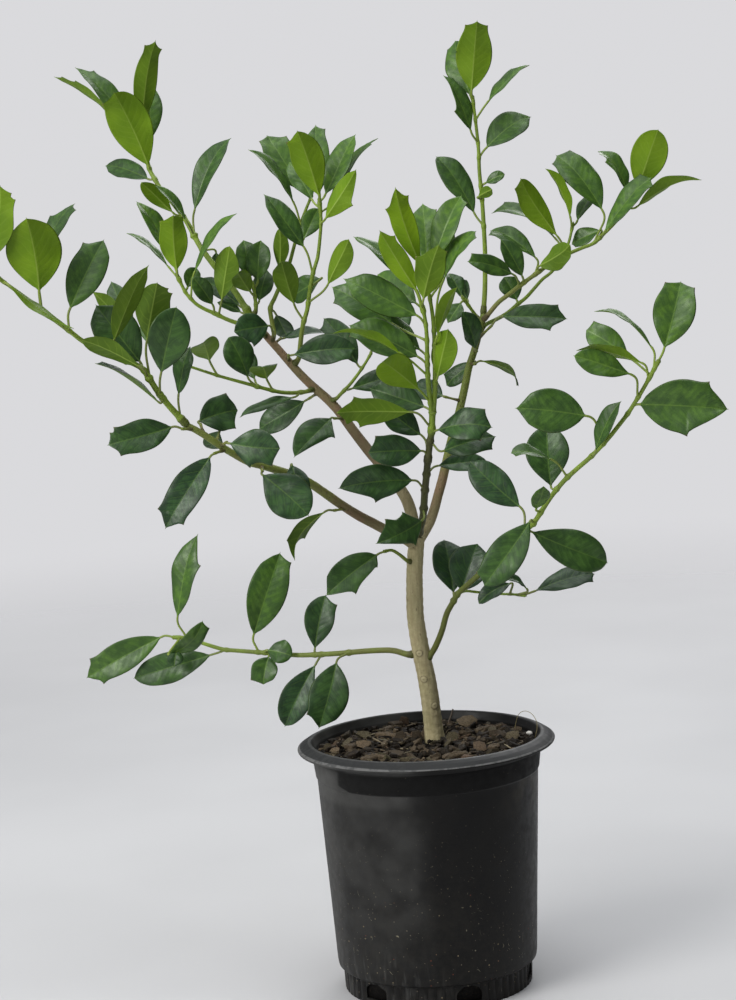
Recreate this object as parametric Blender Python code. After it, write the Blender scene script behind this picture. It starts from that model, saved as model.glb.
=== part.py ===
"""A young holly in a plain black nursery pot, modelled at its real size in metres with +Z up.

The origin is on the pot's axis, on the surface that it stands on. -Y is the front.
The plant is written down as a person would chart it from one fixed viewpoint in front of the pot.
Each point has three numbers in millimetres: across, up, and back. The first two say where the point
is seen on the upright plane through the pot's axis, and the third says how far behind it the point is.
"""

from math import cos, pi, radians, sin, tan

import bmesh
import bpy
import numpy as np
from mathutils import Vector
from mathutils.bvhtree import BVHTree

MM = 0.001
FIT = 0.0003
SMOOTH_ANGLE = 40

# Viewpoint of the plant chart, and how deep a millimetre of its third number is
EYE = np.array([-0.034, -1.9, 0.618])
DEPTH = 1.3

# Pot
POT_HEIGHT = 0.1945
CREST_RADIUS = 0.0889
LIP_RADIUS = 0.0985
LIP_EDGE_HEIGHT = 0.1885
LIP_FOOT_HEIGHT = 0.1866
NECK_RADIUS = 0.0868
BAND_FOOT_HEIGHT = 0.1665
BAND_STEP = 0.0010
WALL_TOP_RADIUS = 0.0846
WALL_FOOT_RADIUS = 0.0772
WALL_FOOT_HEIGHT = 0.0215
FOOT_TOP_RADIUS = 0.0732
FOOT_TOP_HEIGHT = 0.0175
FOOT_RADIUS = 0.0724
WALL = 0.0018
FLOOR = 0.0025
POT_SIDES = 48
DRAIN_COUNT = 6
DRAIN_PHASE = 17.0
DRAIN_WIDTH = 0.020
DRAIN_SILL = 0.0040
DRAIN_SPRING = 0.0095
DRAIN_TOP = 0.0165
DRAIN_ARCH_SIDES = 8

# Bark mix: the radius and height of each ring of its nearly level top, from the wall to the crown
MOUND = ((0.0846, 0.1860), (0.0620, 0.1863), (0.0360, 0.1865), (0.0120, 0.1866))

# Loose chips of bark on the mix: across, back, length, width, thickness and heading in degrees
CHIPS = (
    (-0.042, -0.038, 0.019, 0.009, 0.0028, 20),
    (-0.014, -0.052, 0.015, 0.008, 0.0030, -35),
    (0.020, -0.047, 0.021, 0.010, 0.0032, 12),
    (0.051, -0.024, 0.016, 0.009, 0.0026, 70),
    (-0.058, 0.004, 0.014, 0.010, 0.0030, 80),
    (-0.030, 0.036, 0.018, 0.008, 0.0028, -20),
    (0.046, 0.037, 0.017, 0.009, 0.0030, 40),
)
CHIP_OUTLINE = ((-0.5, -0.3), (-0.1, -0.5), (0.46, -0.36), (0.5, 0.22), (0.05, 0.5), (-0.44, 0.38))
CHIP_TOP = 0.78

# Plant
STEM_SIDES = 5
WOOD_SIDES = 10
END_COVER = 1.2
LEAF_THICKNESS = 0.0010
LEAF_LIFT = 0.1
LEAF_SKEW = 1.05
LEAF_FULLNESS = 0.62
ARCH_FOOT = 0.7
ARCH_GAIN = 0.6
TIP_HALF_WIDTH = 0.0004
TIP_HALF_THICKNESS = 0.00025
STALK_RADIUS = 0.0009
STALK_REACH = 0.4
LEAF_STATIONS = (0.0, 0.18, 0.5, 0.82, 1.0)
SMALL_LEAF = 0.045
SMALL_LEAF_STATIONS = (0.0, 0.25, 0.7, 1.0)
STALK_STEP = 0.011

# The trunk and its limbs, which grew as one piece of wood.
# Each is: radius at its foot, radius at its end, and the points of its axis.
WOOD = {
    "trunk": (7.6, 6.2, [
        (8, 170, 17), (7, 188, 17), (6, 203, 17), (5, 219, 16), (3.5, 235, 15), (1.3, 250, 14),
        (-0.5, 262, 13), (-2.2, 277, 12), (-3, 290, 11), (-2.6, 305, 10), (-1.8, 320, 10),
        (-0.5, 333, 10), (1.5, 348, 10)]),
    "upper_left_limb": (5.0, 2.9, [
        (0.5, 340, 10), (-1, 361, 13), (-5, 377, 16), (-13, 391, 20), (-22, 403, 24), (-31, 415, 28),
        (-42, 431, 32), (-51, 445, 36), (-60, 456, 39), (-74, 470, 43), (-85, 483, 46), (-95, 496, 49),
        (-103, 506, 52), (-108, 513, 54)]),
    "lower_left_limb": (4.2, 2.5, [
        (0, 341, 9), (-11, 349, -2), (-21, 354, -7), (-31, 360, -12), (-41, 366, -17), (-51, 373, -22),
        (-60, 380, -27), (-70, 388, -32), (-78, 394, -36), (-87, 399, -40), (-98, 403.5, -44),
        (-110, 408, -48), (-122, 412, -52), (-132, 418, -55), (-141, 424, -58), (-150, 431, -61),
        (-159, 437.5, -63), (-168, 443, -65)]),
    "right_limb": (4.2, 2.6, [
        (1.5, 343, 10), (11, 357, 19), (15, 366, 22), (19, 378, 26), (23, 390, 30), (26.5, 402, 33),
        (31, 418, 37), (36, 433, 40), (40, 446, 42), (44, 461, 44), (47.5, 474, 46), (52, 486, 48),
        (56, 498, 49), (59.5, 509, 50), (60.5, 514, 51)]),
}

# Shoots: where the shoot leaves the stem that carries it, its stems as above, and its leaves.
# A leaf is: foot of the stalk, base and tip of the blade, how far behind the foot its base and tip are,
# width, turn about its length (0 shows the upper side, 180 the underside) and bend of the midrib in degrees.
SHOOTS = {
    "top_leader": dict(
        at=(60.5, 514), carrier="right_limb",
        stems=[(2.0, 1.15, [
            (62.3, 530, 51), (63.3, 545, 51.5), (64, 560, 52), (64, 580, 52), (63.7, 600, 53),
            (62.8, 620, 54), (63, 635, 54), (62.3, 650, 55), (60.6, 674, 55)])],
        leaves=[
            ((60.6, 673), (60, 679), (67, 732), (-3, -14), 28, 180, 20),
            ((60.8, 670), (59, 676), (49, 718), (5, 20), 24, -25, 25),
            ((62.6, 641), (58, 650), (40, 693), (-4, 3), 22, 55, 30),
            ((61.8, 658), (72, 671), (104, 697), (0, 4), 22, -70, 25),
            ((63.2, 630), (69, 637), (104, 659), (1, 12), 27, -38, 30),
            ((64, 579), (57.5, 589), (31, 634), (2, 12), 24, 35, 25),
            ((63.6, 609), (67, 611), (82, 617), (-2, -6), 10, -30, 30),
            ((63.7, 599), (61, 601), (72, 606), (-4, -12), 9, 180, 20)]),
    "right_upper_shoot": dict(
        at=(59.3, 508.5), carrier="right_limb",
        stems=[(1.9, 1.1, [
            (64, 513, 47.5), (72, 521.5, 49), (80, 527, 50), (90, 534, 50), (100, 540.5, 50),
            (112, 548, 51), (124, 554, 52), (136, 558.5, 54), (145, 561.5, 55), (152, 567, 56),
            (160, 574, 57), (168, 582, 58), (181, 596, 60)])],
        leaves=[
            ((101, 541), (102, 553), (68, 577), (4, 16), 20, 50, 40),
            ((92, 535.5), (91, 540), (76, 569.5), (-3, -5), 17, 25, 20),
            ((89, 533), (84, 542), (50.5, 554), (-7, -25), 17, 25, 25),
            ((104, 543), (104, 547), (129, 562), (-4, -16), 20, 145, 20),
            ((150, 565), (151, 571), (128, 562), (4, 14), 16, 40, 25),
            ((147, 562.5), (153, 586), (120, 630), (3, 14), 30, 35, 25),
            ((151, 566), (154, 570), (191, 610), (-6, -8), 22, -50, 20),
            ((181, 595), (180, 599), (198, 645), (-3, -16), 28, 180, 25),
            ((176, 591), (172, 599), (151, 631), (2, 8), 20, 58, 60),
            ((172, 586), (179, 587), (229, 605), (-3, -8), 20, -118, 45)]),
    "right_mid_shoot": dict(
        at=(56.5, 500), carrier="right_limb",
        stems=[(1.7, 1.0, [
            (62, 505.5, 54), (70, 509, 55.5), (78, 513, 57), (86, 519, 58), (93, 524, 59),
            (100, 531, 60), (106, 537, 60), (113, 542, 61), (119, 549, 62), (124, 557, 63),
            (127.5, 565, 64), (130.5, 576, 65)])],
        leaves=[
            ((87, 519.8), (86, 522.5), (77, 541), (4, 12), 18, 20, 20),
            ((123.5, 556), (117, 567), (69, 590), (6, 12), 20, 68, 70),
            ((124, 557.5), (119, 568), (92, 614), (-4, -14), 22, -150, 25),
            ((130, 573), (129, 582), (112, 620), (-3, -8), 18, 112, 30),
            ((130.3, 575), (134, 579), (154, 603), (3, 12), 18, -58, 40)]),
    "limb_node_twig": dict(
        at=(59.4, 508), carrier="right_limb",
        stems=[(1.5, 1.1, [(55, 512.5, 53), (50, 520, 51), (46, 526, 49)])],
        leaves=[
            ((46.5, 525.5), (45, 528), (36, 546), (3, 10), 15, 30, 25),
            ((47, 524.5), (44, 523), (33, 508), (-3, -9), 14, 20, 30),
            ((50, 521), (49, 525), (46, 541), (4, 12), 12, -20, 20)]),
    "right_limb_low_leaf": dict(
        at=(41, 449), carrier="right_limb",
        stems=[(1.0, 0.9, [(34, 450, 39), (28, 453, 35)])],
        leaves=[((28.5, 452.8), (27, 453.5), (3, 462), (3, 12), 20, 25, 25)]),
    "right_limb_front_leaf": dict(
        at=(52, 486), carrier="right_limb",
        stems=[(1.1, 0.9, [(53.5, 485.5, 44), (54, 486, 42)])],
        leaves=[((54, 486), (53, 488), (44, 517), (-3, -10), 20, 35, 20)]),
    "right_limb_arched_leaf": dict(
        at=(48.5, 476.5), carrier="right_limb",
        stems=[(1.1, 0.9, [(51, 475.5, 42.5), (52.5, 476.5, 40)])],
        leaves=[((52.5, 476.5), (54, 477), (84, 459), (-2, -10), 16, -72, 80)]),
    "right_limb_grey_leaf": dict(
        at=(46.5, 470), carrier="right_limb",
        stems=[(1.1, 0.9, [(43.5, 471.5, 42), (42, 473, 40)])],
        leaves=[((42, 473), (40, 473), (25, 465), (-2, -26), 20, 10, 25)]),
    "right_limb_side_leaf": dict(
        at=(55, 495), carrier="right_limb",
        stems=[(1.3, 0.9, [(61, 500.5, 46), (66, 504.3, 44)])],
        leaves=[((66, 504.3), (74, 511), (124, 507), (-2, -10), 21, -25, 15)]),
    "centre_shoot": dict(
        at=(2, 349), carrier="trunk",
        stems=[
            (2.9, 2.4, [
                (6.5, 361, -1), (8, 370, -4), (9.3, 381, -8), (11, 392, -11), (12.7, 404, -14),
                (14.7, 416, -17), (17, 428, -20), (18.3, 441, -23)]),
            (2.0, 1.3, [
                (18.3, 438, -22), (16.8, 455, -26), (16.2, 470, -29), (16.6, 485, -31), (17, 500, -33),
                (16.3, 513, -34), (14.5, 523, -35)]),
            (2.0, 1.2, [
                (18.3, 438, -22), (20.6, 455, -25), (21.7, 470, -27), (22.2, 485, -29),
                (22.6, 500, -30), (22.2, 515, -31), (20.5, 530, -32), (18, 546, -33)])],
        leaves=[
            ((17.8, 546), (15, 553), (-1, 613), (-3, -12), 21, 185, 25),
            ((14.5, 523), (11.5, 534), (-14.5, 582), (-4, -19), 20, 180, 20),
            ((18.2, 545), (20, 553), (19, 600), (9, 22), 22, -10, 20),
            ((18.8, 540), (25, 555), (49, 604), (4, 8), 22, -30, 30),
            ((20.8, 527), (32, 546), (36, 585), (8, 18), 16, 10, 20),
            ((14.8, 521), (16, 527), (30, 568), (-10, -17), 22, 185, 20),
            ((22.5, 503), (32, 541), (58, 577), (-3, -4), 20, -62, 25),
            ((22.4, 492), (25, 499), (41, 536), (-8, -17), 16, -125, 20),
            ((21.5, 464), (23.5, 468), (34, 505), (-4, -16), 21, 155, 20),
            ((15.6, 518), (8, 538), (-34, 578), (1, 7), 20, 55, 25),
            ((16.4, 508), (11, 515), (-44, 547), (-1, 3), 26, 15, 20),
            ((15.6, 518.5), (11, 524), (-18, 549), (14, 34), 22, 20, 20),
            ((16.5, 496), (-8, 510), (-53, 541), (12, 24), 25, 10, 20),
            ((16.4, 478), (10, 484), (-42, 512), (0, 5), 26, 15, 20),
            ((16.6, 484), (12, 489), (-22, 517), (9, 25), 21, 20, 20),
            ((16.4, 470), (-4, 488), (-54, 506), (-11, -18), 18, 112, 45),
            ((17.3, 449), (9, 459.5), (-19, 484), (-6, -38), 26, 172, 15),
            ((17.8, 442), (13, 446), (-29, 463), (3, 14), 24, 15, 20),
            ((17, 430), (2, 443), (-56, 446), (-8, -18), 20, 165, 15),
            ((12.8, 405), (9, 425), (-20, 450), (6, 14), 22, 12, 25),
            ((13.2, 408), (9, 413), (-33, 414), (-3, -14), 24, 5, 25),
            ((17, 427), (21, 428), (64, 428), (-4, -16), 26, -25, 60),
            ((15.5, 420), (25, 412), (66, 421), (-3, 2), 23, -20, 30),
            ((11.5, 395), (20, 401), (60, 401), (5, 12), 18, -30, 30),
            ((9.5, 383), (1, 391), (-57, 388), (-5, -16), 26, 5, 35),
            ((8, 369), (6, 360), (-30, 344), (-12, -40), 28, -10, 30)]),
    "upper_limb_spiny_leaf": dict(
        at=(-99, 501), carrier="upper_left_limb",
        stems=[(1.2, 0.9, [(-97.5, 504.5, 46.5), (-98, 509.5, 43)])],
        leaves=[((-98, 509), (-101, 514), (-128, 511), (-3, -12), 24, 10, 25)]),
    "upper_limb_low_leaf": dict(
        at=(-88, 486.5), carrier="upper_left_limb",
        stems=[(1.2, 0.9, [(-88.5, 489, 42), (-87.5, 491, 38)])],
        leaves=[((-87.6, 490.8), (-84, 491), (-36, 493), (-2, -8), 24, -12, 20)]),
    "upper_limb_back_leaf": dict(
        at=(-98, 500), carrier="upper_left_limb",
        stems=[(1.1, 0.9, [(-95.5, 502, 56), (-92.5, 504, 59)])],
        leaves=[((-93, 503.8), (-90, 504), (-56, 506), (3, 12), 18, -65, 25)]),
    "upper_limb_dark_leaf": dict(
        at=(-66, 462), carrier="upper_left_limb",
        stems=[(1.2, 0.9, [(-70, 459.5, 46.5), (-74, 457.5, 50)])],
        leaves=[((-74, 457.5), (-77, 456), (-114, 436), (2, 10), 24, 20, 20)]),
    "upper_limb_front_leaf": dict(
        at=(-48.5, 441), carrier="upper_left_limb",
        stems=[(1.2, 0.9, [(-53, 442.3, 30), (-56, 441.5, 24)])],
        leaves=[((-55.8, 441.5), (-58, 442), (-89, 413), (-2, -24), 26, 10, 70)]),
    "upper_limb_twig": dict(
        at=(-59, 455), carrier="upper_left_limb",
        stems=[(1.5, 1.0, [
            (-54, 456, 35), (-50, 459.5, 34), (-43, 466, 33), (-36, 474, 31), (-30, 482, 30),
            (-26, 488, 29)])],
        leaves=[
            ((-47, 462), (-42, 463), (-2, 472), (5, 16), 20, -30, 20),
            ((-27, 487), (-24, 492), (6, 521), (6, 18), 20, -10, 20),
            ((-33, 478), (-36, 481), (-60, 518), (5, 18), 20, 15, 20)]),
    "mid_left_shoot": dict(
        at=(-69, 465), carrier="upper_left_limb",
        stems=[(1.7, 1.0, [
            (-75, 463, 37), (-80, 462.5, 35.5), (-87, 462.5, 33), (-95, 463.5, 30), (-104, 466, 27),
            (-113, 469, 24), (-122, 472, 21), (-141, 478.5, 15), (-159, 485.5, 9), (-168, 489, 6)])],
        leaves=[
            ((-113, 469), (-119, 476), (-132, 508), (-3, -6), 24, 20, 20),
            ((-112, 468.6), (-114, 474), (-118, 500), (4, 12), 16, -35, 25),
            ((-101, 465), (-105, 474), (-108, 484), (-4, -44), 22, 178, 20),
            ((-142, 478.8), (-147, 490), (-151, 505), (-4, -42), 22, 178, 20),
            ((-80, 462.5), (-86, 459), (-128, 447), (-6, -12), 20, 62, 20),
            ((-168, 489), (-173, 494), (-196, 522), (3, 22), 18, 30, 20)]),
    "left_leader": dict(
        at=(-108, 513), carrier="upper_left_limb",
        stems=[(2.3, 1.2, [
            (-112, 519, 55), (-118, 529, 56), (-123, 538, 58), (-128, 546, 60), (-134, 554, 62),
            (-140, 562.5, 64), (-147.5, 574, 67), (-152.5, 584, 70), (-157.5, 595, 73), (-166, 608, 77),
            (-175, 620, 81), (-179, 627.5, 83), (-183, 637, 86), (-186.5, 659, 90)])],
        leaves=[
            ((-182.5, 636), (-183, 639), (-206, 692), (-3, -15), 27, 180, 20),
            ((-186.5, 657), (-186, 666), (-173, 729), (-1, -6), 22, -145, 15),
            ((-186, 652), (-191, 662), (-233, 714), (3, 8), 20, 42, 25),
            ((-185.5, 647), (-197, 666), (-249, 708), (8, 22), 20, 72, 40),
            ((-185.8, 650), (-181, 655), (-178, 699), (6, 20), 20, 10, 20),
            ((-179, 627.5), (-184, 628), (-216, 640), (2, 26), 18, 30, 20),
            ((-160, 599), (-167, 602), (-190, 627), (-4, -18), 14, 165, 25),
            ((-152.5, 584), (-158, 596), (-180, 624), (-8, -9), 14, 62, 20),
            ((-152.5, 584.5), (-151, 603), (-120, 656), (2, 10), 23, -38, 40),
            ((-117.5, 528), (-122, 530), (-151, 553), (6, 18), 15, 30, 20),
            ((-116.5, 526), (-121, 525), (-139, 534), (8, 14), 9, 30, 20),
            ((-147, 573), (-137, 571), (-135, 558), (4, 10), 11, 20, 30)]),
    "left_side_shoot": dict(
        at=(-103.5, 506.5), carrier="upper_left_limb",
        stems=[(1.9, 1.2, [
            (-107, 508.5, 45), (-112, 512, 44), (-118, 515.5, 45), (-125, 517.5, 46), (-133, 521, 45.5),
            (-140, 525, 45), (-148, 529, 44), (-154, 533, 43), (-158, 537.5, 43), (-162, 543, 43),
            (-167, 555, 43)])],
        leaves=[
            ((-167, 554.5), (-167, 559), (-167, 602), (-3, -12), 22, 180, 20),
            ((-166, 552.5), (-173, 562), (-203, 590), (4, 9), 16, 72, 30),
            ((-165.5, 551), (-170, 566), (-194, 613), (12, 24), 20, 45, 25),
            ((-158, 538), (-154, 557), (-120, 601), (0, -2), 16, -68, 35),
            ((-162, 543), (-160, 546), (-152, 561), (4, 8), 13, 0, 20),
            ((-141, 525.5), (-142, 532), (-156, 554), (-3, -12), 15, 20, 20),
            ((-138, 524), (-135, 537), (-125, 576), (-3, -8), 15, 150, 20)]),
    "left_short_shoot": dict(
        at=(-113.5, 521.5), carrier="left_leader",
        stems=[(1.7, 1.1, [(-110, 526, 54), (-110, 537, 54), (-111, 546, 55)])],
        leaves=[
            ((-111, 544), (-113, 550), (-116, 580), (4, 10), 18, 5, 20),
            ((-110.8, 542), (-107, 548), (-103, 579), (0, 4), 20, -15, 20),
            ((-110.5, 536), (-113, 540), (-122, 556), (-4, -24), 16, 178, 20),
            ((-110, 530), (-107, 533), (-99, 556), (6, 16), 17, -15, 20)]),
    "left_inner_shoot": dict(
        at=(-100, 502.5), carrier="upper_left_limb",
        stems=[(1.9, 1.1, [
            (-97.5, 507, 57), (-98.5, 517, 59), (-99, 527, 59), (-95, 535, 60), (-90, 545, 61),
            (-86, 553, 63), (-82.5, 560, 64), (-77.5, 575, 67), (-72.5, 588.7, 70), (-67.5, 600, 72),
            (-63.5, 608, 74)])],
        leaves=[
            ((-64, 607), (-68, 612), (-94, 657), (2, 12), 28, 20, 20),
            ((-72.5, 588.7), (-77, 605), (-108, 647), (-3, -9), 20, 68, 35),
            ((-77, 577), (-71, 577), (-58, 600), (-3, 0), 16, -10, 20),
            ((-89, 547), (-90, 554), (-88, 587), (-4, -8), 13, 165, 20),
            ((-99, 527), (-95, 522), (-86, 503), (6, 22), 17, 20, 20)]),
    "front_left_shoot": dict(
        at=(-85, 483), carrier="upper_left_limb",
        stems=[(2.0, 1.1, [
            (-80, 488, 43), (-78.5, 496, 41), (-77, 505, 39), (-75, 514, 36), (-71.5, 524, 34),
            (-69.5, 534, 33), (-67.5, 543, 32), (-65.5, 551, 31), (-63, 558, 30), (-61, 564, 30),
            (-58.7, 577.5, 29), (-57.2, 590, 28), (-57.5, 605, 28)])],
        leaves=[
            ((-57.5, 603), (-57.5, 608), (-71.5, 659), (-4, -17), 25, 180, 20),
            ((-57.4, 599), (-63, 606), (-79, 636), (6, 18), 18, 20, 20),
            ((-57.4, 601), (-57, 610), (-57, 662), (8, 24), 20, 0, 20),
            ((-57.4, 604), (-53, 609), (-28, 654), (3, 12), 22, -35, 20),
            ((-57.3, 596), (-49, 603), (-11, 650), (8, 20), 18, -65, 35),
            ((-57.2, 588), (-54, 591), (-28, 627), (-4, -12), 20, 150, 20),
            ((-65.5, 551), (-71, 571), (-99, 613), (-2, 0), 20, 30, 25),
            ((-69.5, 529), (-55, 542), (-36, 576), (-5, -14), 18, 155, 20),
            ((-68, 541), (-60, 547), (-84, 533), (7, 22), 20, 30, 20),
            ((-75, 516), (-81, 529), (-89, 563), (-3, -26), 19, 178, 15)]),
    "lower_limb_end_leaf": dict(
        at=(-162, 439.5), carrier="lower_left_limb",
        stems=[(1.2, 0.9, [(-166, 438.5, -68), (-171, 440, -70)])],
        leaves=[((-171, 440), (-178, 442), (-229, 431), (-2, -12), 24, 10, 20)]),
    "lower_limb_upper_leaf": dict(
        at=(-155, 434.5), carrier="lower_left_limb",
        stems=[(1.2, 0.9, [(-157.5, 439.5, -57), (-157, 443, -54)])],
        leaves=[((-157.2, 442.5), (-158, 445), (-127, 452), (3, 14), 26, -10, 20)]),
    "lower_limb_back_leaf": dict(
        at=(-146, 428), carrier="lower_left_limb",
        stems=[(1.1, 0.9, [(-145, 430, -53), (-144.5, 432, -50)])],
        leaves=[((-144.5, 432), (-143, 437), (-151, 423), (4, 16), 15, 0, 20)]),
    "lower_limb_hanging_leaf": dict(
        at=(-139, 422.5), carrier="lower_left_limb",
        stems=[(1.3, 0.9, [(-143.5, 420.5, -63), (-148, 420, -65)])],
        leaves=[((-147.8, 420), (-151, 418), (-190, 364), (-2, -12), 25, 15, 20)]),
    "lower_limb_right_leaf": dict(
        at=(-143, 425.5), carrier="lower_left_limb",
        stems=[(1.2, 0.9, [(-141, 428, -64), (-138, 428, -68)])],
        leaves=[((-138, 428), (-136, 427), (-97, 421), (-3, -12), 27, 0, 20)]),
    "lower_limb_glossy_leaf": dict(
        at=(-114, 409.3), carrier="lower_left_limb",
        stems=[(1.2, 0.9, [(-113.5, 406, -53), (-113, 403.5, -56)])],
        leaves=[((-113, 403.5), (-115, 398), (-79, 368), (-3, -12), 33, -10, 15)]),
    "lower_limb_small_leaf": dict(
        at=(-99, 404), carrier="lower_left_limb",
        stems=[(1.2, 0.9, [(-96.5, 408, -42), (-93, 410, -44)])],
        leaves=[((-93, 410), (-89, 409), (-84, 378), (-5, -11), 19, 0, 30)]),
    "lower_limb_curled_leaf": dict(
        at=(-50, 372.3), carrier="lower_left_limb",
        stems=[(1.1, 0.9, [(-53, 370.5, -28), (-60, 371.5, -32)])],
        leaves=[((-60, 371.5), (-67, 371), (-93, 334), (-4, -10), 17, 130, 80)]),
    "far_left_shoot": dict(
        at=(-168, 443), carrier="lower_left_limb",
        stems=[(2.4, 1.2, [
            (-175, 452, -67), (-182, 461, -69), (-188, 470, -71), (-193, 479, -73), (-199, 488, -75),
            (-212, 495, -78), (-226, 502, -81), (-240, 509.5, -84), (-250, 518, -87), (-262, 528, -90),
            (-273, 538, -93), (-285, 548, -96), (-296, 557, -98), (-305, 564, -100)])],
        leaves=[
            ((-270, 535.5), (-271, 549), (-277, 606), (-4, -14), 39, 178, 15),
            ((-303, 562.5), (-306, 574), (-293, 631), (-2, -8), 25, 150, 20),
            ((-271, 536.5), (-270, 557), (-240, 615), (8, 22), 18, -55, 40),
            ((-251, 519), (-249, 535), (-219.5, 586), (2, 14), 26, -5, 15),
            ((-300, 560), (-304, 566), (-334, 600), (5, 16), 24, 20, 20),
            ((-301, 561), (-305, 559), (-346, 552), (-3, -14), 22, 30, 20),
            ((-297, 557.5), (-293, 555), (-247, 519), (-6, -8), 17, 110, 15),
            ((-194, 480), (-200, 489), (-243, 512), (-10, -16), 18, 135, 15),
            ((-184, 463.5), (-187, 461), (-233, 495), (-5, -7), 18, 88, 20),
            ((-197, 485.5), (-199, 492), (-230, 538), (2, 6), 32, 5, 15),
            ((-222, 500), (-218, 509), (-188, 566), (-5, -14), 22, -140, 20),
            ((-193, 479), (-193, 508), (-182, 552), (-3, -8), 25, 172, 20),
            ((-209, 493.5), (-207, 512), (-232, 548), (22, 35), 14, 150, 20),
            ((-210, 494), (-205, 514), (-217, 555), (36, 52), 16, 10, 20),
            ((-186, 467), (-184, 483), (-169, 533), (-10, -14), 30, 0, 15),
            ((-172, 448), (-172, 466), (-161, 503), (0, -2), 20, -50, 20)]),
    "trunk_twig": dict(
        at=(-1, 328), carrier="trunk",
        stems=[(1.6, 1.1, [(-7, 330, 4), (-12, 334.5, 1), (-18, 338.5, -2), (-24, 338, -5)])],
        leaves=[((-23.5, 338), (-29, 336), (-71, 306), (-2, -14), 26, 12, 30)]),
    "low_left_branch": dict(
        at=(-0.2, 259.5), carrier="trunk",
        stems=[(2.4, 1.4, [
            (-9, 257.5, 14), (-20, 261, 17), (-30, 262, 20), (-45, 262, 24), (-60, 261.5, 29),
            (-80, 261.5, 35), (-95, 262, 40), (-110, 264, 44), (-125, 266, 48), (-140, 268, 52),
            (-150, 269.5, 55), (-160, 273, 58), (-170, 277, 61), (-178, 280, 63), (-187, 281, 65)])],
        leaves=[
            ((-76, 261.5), (-81, 254), (-108, 206), (2, -2), 25, 10, 20),
            ((-55, 261.5), (-65, 255), (-82, 203), (-4, -14), 31, 0, 20),
            ((-81, 261.5), (-81, 266), (-70, 308), (2, 10), 24, 0, 20),
            ((-124, 266), (-127, 279), (-102, 343), (2, 10), 31, 8, 15),
            ((-114, 264.5), (-116.5, 262), (-122, 240), (-5, -12), 21, 10, 30),
            ((-119, 265), (-117, 267), (-98, 261.5), (-6, -12), 20, -20, 30),
            ((-183, 280.5), (-191, 270), (-166, 291), (-7, -18), 18, 150, 30),
            ((-178, 280), (-186, 271), (-189, 258), (-8, -13), 13, 15, 25),
            ((-178, 280), (-184, 296), (-165, 361), (1, 6), 24, -40, 25),
            ((-186, 281), (-197, 282), (-258, 253), (2, 4), 25, 8, 15),
            ((-148, 269), (-160, 266), (-222, 251), (7, 14), 25, 10, 20)]),
    "low_right_branch": dict(
        at=(1.5, 250), carrier="trunk",
        stems=[
            (2.4, 1.4, [
                (9, 259, 10), (13, 266, 7), (17, 275, 3), (21, 287, -2), (26, 295.5, -8),
                (31, 303, -14), (41, 311, -22), (54, 322, -31), (67, 333, -39), (80, 344, -46),
                (91, 354, -50), (97, 362, -53), (105, 373, -56), (115, 384, -60), (125, 392.5, -64),
                (137, 402, -69), (150, 414.5, -75), (158, 423.5, -79), (166, 433, -82), (173, 443, -85),
                (179, 452, -88), (190, 470, -94)]),
            (1.1, 0.9, [
                (30, 302, -13), (36, 304, -12), (43, 303, -10), (52, 301.5, -9), (62, 300.3, -10),
                (72, 299.4, -12), (80, 298, -15)])],
        leaves=[
            ((27, 297), (27, 303), (22, 346), (6, 22), 27, 12, 20),
            ((30, 301.5), (33, 304), (47.5, 341), (2, 10), 31, -8, 20),
            ((90, 353), (88, 355), (49, 306), (-6, -18), 27, 12, 30),
            ((70, 299.6), (71, 308), (45, 293), (-5, -12), 14, 30, 60),
            ((76, 298.8), (83, 303), (66, 312), (-8, -14), 9, 60, 60),
            ((79.5, 298), (89, 301), (136, 312), (-1, 6), 20, -35, 20),
            ((90, 353.5), (88, 347), (147, 319), (6, 16), 30, -15, 30),
            ((96.5, 361), (93, 364), (100, 381), (-4, -12), 16, 170, 20),
            ((84, 347.5), (81, 366), (44, 404), (4, 14), 25, 5, 15),
            ((109.5, 378), (105, 380), (104, 428), (3, 10), 32, 0, 15),
            ((146, 411), (134, 432.5), (80, 441.5), (-5, -7), 32, 5, 15),
            ((118, 387), (106, 401), (75, 408), (-6, -12), 17, 65, 35),
            ((137, 402), (140, 406), (161, 443), (-10, -16), 18, -50, 30),
            ((165.5, 432.5), (174, 439), (243, 431), (-3, -8), 38, 5, 15),
            ((174, 444.5), (169, 462), (126, 479), (-10, -14), 19, 25, 20),
            ((182.5, 458), (178, 470), (128, 484), (-3, -6), 17, 118, 30),
            ((184, 460.5), (168, 475), (136, 498), (13, 24), 20, 10, 20),
            ((187, 465), (186, 481), (143, 512), (2, 8), 16, 78, 60),
            ((189.8, 469.5), (195, 480), (210, 531), (2, 10), 30, 0, 15)]),
}


# Chart to metres

def place(across, up, back):
    """The real point, in metres, that the viewpoint sees at this place of the upright plane."""
    seen = np.array([across * MM, 0.0, up * MM])
    return EYE + (seen - EYE) * (1 + back * DEPTH * MM / -EYE[1])


def unit(vector):
    return vector / np.linalg.norm(vector)


def nearest(stems, across, up):
    """The charted point of these stems that is seen nearest to a place, kept a little inside their ends."""
    found = []
    for _, _, points in stems:
        chart = np.array(points, float)
        chart[-1] -= unit(chart[-1] - chart[-2]) * END_COVER
        for low, high in zip(chart[:-1], chart[1:]):
            step = high - low
            share = np.dot([across - low[0], up - low[1]], step[:2]) / np.dot(step[:2], step[:2])
            point = low + step * min(max(share, 0.0), 1.0)
            found.append((np.hypot(point[0] - across, point[1] - up), tuple(point)))
    return min(found)[1]


def stems_of(name):
    """The stems of a shoot or of the woody frame. A shoot's first stem starts on the axis of its carrier."""
    if name in WOOD:
        return [WOOD[name]]
    shoot = SHOOTS[name]
    start = nearest(stems_of(shoot["carrier"]), *shoot["at"])
    first = shoot["stems"][0]
    return [(first[0], first[1], [start] + first[2])] + shoot["stems"][1:]


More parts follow.
